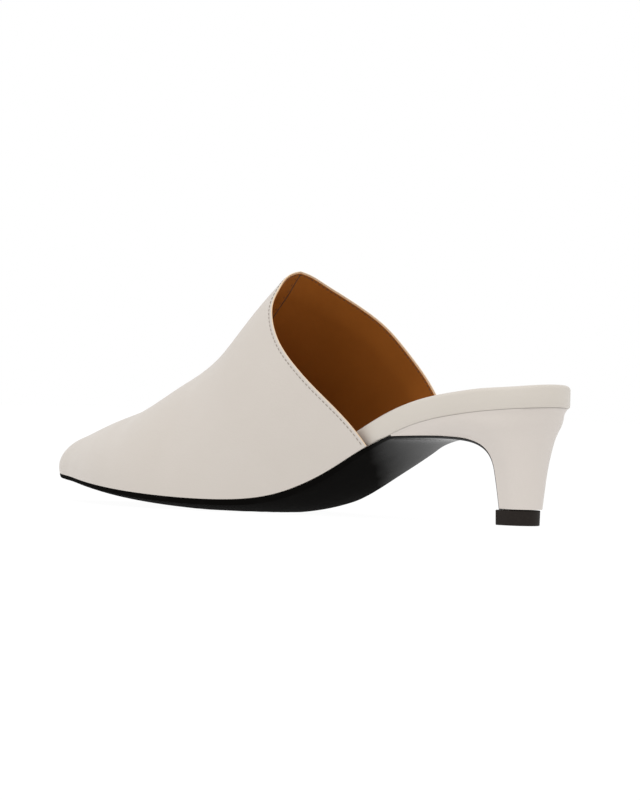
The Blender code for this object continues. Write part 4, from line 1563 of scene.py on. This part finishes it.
@dataclass
class Heel:
    """Kitten heel covered in white leather, with its top lift."""

    last: Last
    placement: Placement
    cap_low: float = 0.64
    cap_high: float = 0.44
    seat_back: float = 0.0012
    seat_inset: float = 0.0006
    seat_rise: float = 0.0002
    front_columns: int = 10
    side_columns: int = 34
    sub_steps: int = 5
    lift_height: float = 0.0054
    lift_length: float = 0.0122
    lift_half_width: float = 0.0075
    lift_back: float = 0.0091
    lift_taper: float = 0.0001
    lift_round: float = 0.0003
    lift_bevel: float = 0.00015
    lift_columns: tuple[int, int] = (26, 8)

    def rows(self) -> list[BreastRow]:
        """Steps of the heel, with smooth ones between those of the table."""
        count = len(BREAST_TABLE)
        at = np.linspace(0, count - 1, (count - 1) * self.sub_steps + 1)
        curves = [Spline(range(count), [row[k] for row in BREAST_TABLE]) for k in range(len(BREAST_TABLE[0]))]
        return [BreastRow(*(float(curve(place)) for curve in curves)) for place in at]

    def ring(self, row: BreastRow, is_seat: bool) -> np.ndarray:
        """One ring of the heel, with a straight front and a round back.

        Args:
            row: The step of the heel.
            is_seat: Whether the ring is the seat, right under the footbed.

        Returns:
            Points round the ring, from the outer side's front.
        """
        last = self.last
        seat_height = float(last.feather(self.seat_back))
        low = BREAST_TABLE[0].back_height
        back_height = seat_height if is_seat else row.back_height
        share = (back_height - low) / (seat_height - low)
        cap = self.cap_low + (self.cap_high - self.cap_low) * share
        back_line = Spline([height for height, _ in BACK_LINE], [at for _, at in BACK_LINE])
        back = self.seat_back if is_seat else float(back_line(back_height))
        front_height = float(last.feather(row.forward)) if is_seat else row.height
        edges = []
        for side in Side:
            edge = []
            for place in 1 - np.sin(np.linspace(0, math.pi / 2, self.side_columns + 1)):
                x = back + (row.forward - back) * float(place)
                if is_seat:
                    wide = max(x, last.heel_cap)
                    y = float(last.half_width(wide, side, -self.seat_inset))
                    if x <= last.heel_cap:
                        turn = float(np.clip((last.heel_cap - x) / (last.heel_cap - self.seat_back), 0, 1))
                        y *= math.sqrt(1 - turn ** last.heel_cap_power)
                    z = float(last.feather(x)) + self.seat_rise
                else:
                    width = row.half + (row.back_half - row.half) * float(ease((1 - place) * 2.2))
                    turn = float(np.clip((cap - place) / cap, 0, 1))
                    y = width * math.sqrt(1 - turn ** (2 + 0.2 * share))
                    chord = back_height + (front_height - back_height) * place
                    span = float(last.feather(row.forward)) - seat_height
                    z = chord + share ** 2 * 0.9 * (float(last.feather(x)) - seat_height - span * place)
                edge.append((x, float(last.axis(x)) + side.value * y, float(z)))
            edges.append(np.array(edge))
        return self.joined(edges, self.front_columns)

    @staticmethod
    def joined(edges: Sequence[np.ndarray], front_columns: int) -> np.ndarray:
        """Ring of an outer and an inner edge, joined by a straight front."""
        outer, inner = edges
        across = np.linspace(0, 1, front_columns + 1)[1:-1, None]
        straight = outer[0] * (1 - across) + inner[0] * across
        return np.concatenate([outer[::-1], straight, inner[:-1]])

    def shell(self, loops: Sequence[np.ndarray], side_columns: int, front_columns: int) -> Mesh:
        """Closed mesh through rings from the bottom up.

        Args:
            loops: Points of each ring.
            side_columns: Steps along each side.
            front_columns: Steps along the front.

        Returns:
            The mesh.
        """
        mesh = Mesh()
        rings = [mesh.add_points(loop) for loop in loops]
        mesh.add_grid(np.stack(rings), around=True, flip=True)
        self.cap(mesh, rings[0], loops[0], side_columns, front_columns, False)
        self.cap(mesh, rings[-1], loops[-1], side_columns, front_columns, True)
        return mesh

    def cap(self, mesh: Mesh, ring: np.ndarray, points: np.ndarray, side_columns: int, front_columns: int,
            is_top: bool) -> None:
        """Fill a ring that begins at its back point, in strips across it up to its straight front.

        Args:
            mesh: Mesh to add to.
            ring: Point numbers of the ring.
            points: Places of those points.
            side_columns: Steps along each side.
            front_columns: Steps along the front.
            is_top: Whether the face looks up.
        """
        rows = [np.full(front_columns + 1, ring[0])]
        for i in range(1, side_columns):
            across = np.linspace(0, 1, front_columns + 1)[1:-1, None]
            middle = mesh.add_points(points[i] * (1 - across) + points[-i] * across)
            rows.append(np.concatenate([[ring[i]], middle, [ring[-i]]]))
        rows.append(ring[side_columns:side_columns + front_columns + 1])
        mesh.add_grid(np.stack(rows), flip=is_top)

    def cover(self, finishes: "Finishes") -> bpy.types.Object:
        """Leather-covered heel."""
        loops = [self.ring(row, False) for row in self.rows()]
        seat = self.ring(BREAST_TABLE[-1], True)
        below = loops[-1]
        for share in (0.5, 1.0):
            loops.append(below * (1 - share) + seat * share)
        mesh = self.shell(loops, self.side_columns, self.front_columns)
        return mesh.build("heel_cover", self.placement, (finishes.heel,), sharp=48)

    def lift(self, finishes: "Finishes") -> bpy.types.Object:
        """D-shaped top lift with softened edges."""
        loops = []
        side_columns, front_columns = self.lift_columns
        soft = self.lift_round
        steps = [(0.0, -self.lift_taper - soft)]
        for turn in np.linspace(0, math.pi / 2, 4)[1:]:
            steps.append((soft * (1 - math.cos(turn)), -self.lift_taper - soft * (1 - math.sin(turn))))
        steps.append((self.lift_height - self.lift_bevel, 0.0))
        steps.append((self.lift_height, -self.lift_bevel))
        for height, grow in steps:
            edges = []
            for side in Side:
                edge = []
                for place in 1 - np.sin(np.linspace(0, math.pi / 2, side_columns + 1)):
                    bend = float(np.clip((self.cap_low - place) / self.cap_low, 0, 1))
                    x = self.lift_back - grow + (self.lift_length + 2 * grow) * float(place)
                    y = (self.lift_half_width + grow) * math.sqrt(1 - bend ** 2)
                    edge.append((x, float(self.last.axis(x)) + side.value * y, height))
                edges.append(np.array(edge))
            loops.append(self.joined(edges, front_columns))
        mesh = self.shell(loops, side_columns, front_columns)
        return mesh.build("lift", self.placement, (finishes.rubber,), sharp=40)

    def build(self, finishes: "Finishes") -> list[bpy.types.Object]:
        """Make the heel and its lift.

        Args:
            finishes: Materials of the shoe.

        Returns:
            The pieces.
        """
        cover = self.cover(finishes)
        lift = self.lift(finishes)
        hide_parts("heel")
        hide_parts("top_lift")
        return [cover, lift]


@dataclass
class Finishes:
    """Every material of the shoe, made once."""

    white: bpy.types.Material = field(default_factory=WHITE_LEATHER.make)
    rim: bpy.types.Material = field(default_factory=RIM_LEATHER.make)
    heel: bpy.types.Material = field(default_factory=HEEL_LEATHER.make)
    lining: bpy.types.Material = field(default_factory=TAN_LINING.make)
    sock: bpy.types.Material = field(default_factory=TAN_SOCK.make)
    leather_edge: bpy.types.Material = field(default_factory=LEATHER_EDGE.make)
    lining_edge: bpy.types.Material = field(default_factory=LINING_EDGE.make)
    pale_thread: bpy.types.Material = field(default_factory=PALE_THREAD.make)
    # Thread of the lining's stitches, also the painted shade of the lining's seam groove.
    brown_thread_and_seam_shade: bpy.types.Material = field(default_factory=BROWN_THREAD_AND_SEAM_SHADE.make)
    sock_thread: bpy.types.Material = field(default_factory=PALE_THREAD.make)
    sole: bpy.types.Material = field(default_factory=SOLE_BLACK.make)
    rubber: bpy.types.Material = field(default_factory=LIFT_RUBBER.make)


@dataclass(frozen=True)
class Softbox:
    """A large soft lamp."""

    name: str
    place: tuple[float, float, float]
    size: float
    power: float
    colour: Colour = (1.0, 1.0, 1.0)


SOFTBOXES = (
    Softbox("softbox_top", (0.10, 0.30, 1.60), 1.8, 6.0),
    Softbox("softbox_front", (-0.90, 1.10, 0.80), 1.2, 3.0),
)


@dataclass
class Studio:
    """White floor, soft light and the camera at the photograph's angle."""

    placement: Placement
    turn: float = 42.766
    elevation: float = 0.572
    roll: float = 1.573
    distance: float = 1.300
    focal_pixels: float = 3463.2
    aim: tuple[float, float, float] = (0.125, 0.0, 0.030)
    aim_pixel: tuple[float, float] = (296.67, 432.45)
    picture: tuple[int, int] = (640, 800)
    sensor: float = 36.0
    floor_half: float = 6.0
    sky: float = 1.0

    def camera(self) -> bpy.types.Object:
        """Camera whose aim lands on its pixel of the photograph.

        Returns:
            The camera, set as the scene's own.
        """
        a, e, r = (math.radians(value) for value in (self.turn, self.elevation, self.roll))
        away = Vector((-math.sin(a) * math.cos(e), math.cos(a) * math.cos(e), math.sin(e)))
        right = Vector((-math.cos(a), -math.sin(a), 0.0))
        up = away.cross(right)
        if up.z < 0:
            up.negate()
        aim = Vector(self.placement.moved(np.array(self.aim)))
        level = right * math.cos(r) + up * math.sin(r)
        plumb = up * math.cos(r) - right * math.sin(r)
        off_x = self.aim_pixel[0] - self.picture[0] / 2
        off_y = self.aim_pixel[1] - self.picture[1] / 2
        forward = (-away * self.focal_pixels - level * off_x + plumb * off_y).normalized()
        back = -forward
        sideways = (level - back * level.dot(back)).normalized()
        head = back.cross(sideways)
        turn = Matrix((sideways, head, back)).transposed().to_4x4()
        data = bpy.data.cameras.new("camera")
        data.sensor_fit = "AUTO"
        data.sensor_width = self.sensor
        data.lens = self.focal_pixels * self.sensor / max(self.picture)
        data.clip_start = 0.05
        data.clip_end = 60.0
        data.dof.use_dof = False
        camera = bpy.data.objects.new("camera", data)
        camera.matrix_world = Matrix.Translation(aim + away * self.distance) @ turn
        bpy.context.scene.collection.objects.link(camera)
        bpy.context.scene.camera = camera
        return camera

    def floor(self) -> bpy.types.Object:
        """Wide white floor that the shoe stands on."""
        half = self.floor_half
        steps = np.linspace(-half, half, 9)
        mesh = Mesh()
        grid = np.stack(np.meshgrid(steps, steps, indexing="ij"), axis=-1)
        points = np.concatenate([grid, np.zeros(grid.shape[:2] + (1,))], axis=-1)
        mesh.add_grid(mesh.add_points(points + self.placement.shift))
        floor = mesh.build("floor", self.placement, (FLOOR_WHITE.make(),))
        return floor

    def light(self) -> None:
        """Even white surroundings and large soft lamps."""
        world = bpy.data.worlds.new("studio")
        bpy.context.scene.world = world
        world.use_nodes = True
        background = world.node_tree.nodes["Background"]
        background.inputs["Color"].default_value = (1.0, 1.0, 1.0, 1.0)
        background.inputs["Strength"].default_value = self.sky
        for box in SOFTBOXES:
            data = bpy.data.lights.new(box.name, "AREA")
            data.shape = "SQUARE"
            data.size = box.size
            data.energy = box.power
            data.color = box.colour
            lamp = bpy.data.objects.new(box.name, data)
            lamp.location = box.place
            lamp.rotation_euler = (Vector((0.0, 0.0, 0.04)) - lamp.location).to_track_quat("-Z", "Y").to_euler()
            bpy.context.scene.collection.objects.link(lamp)

    def build(self) -> None:
        """Set the studio up."""
        bpy.context.scene.view_settings.view_transform = "Standard"
        self.camera()
        self.floor()
        self.light()


def main() -> None:
    """Dress the shoe piece by piece, then set up the studio."""
    logging.basicConfig(level=logging.INFO, format="%(name)s: %(message)s")
    placement = Placement()
    last = Last()
    finishes = Finishes()
    for part in (Upper(last, placement), Footbed(last, placement), Outsole(last, placement),
                 Heel(last, placement)):
        for piece in part.build(finishes):
            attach(piece, "root")
            triangles = sum(len(face.vertices) - 2 for face in piece.data.polygons)
            LOG.info("%s: %s, %d triangles", type(part).__name__, piece.name, triangles)
    Studio(placement).build()
    LOG.info("studio: camera, floor and %d soft lamps", len(SOFTBOXES))


if __name__ == "__main__":
    main()
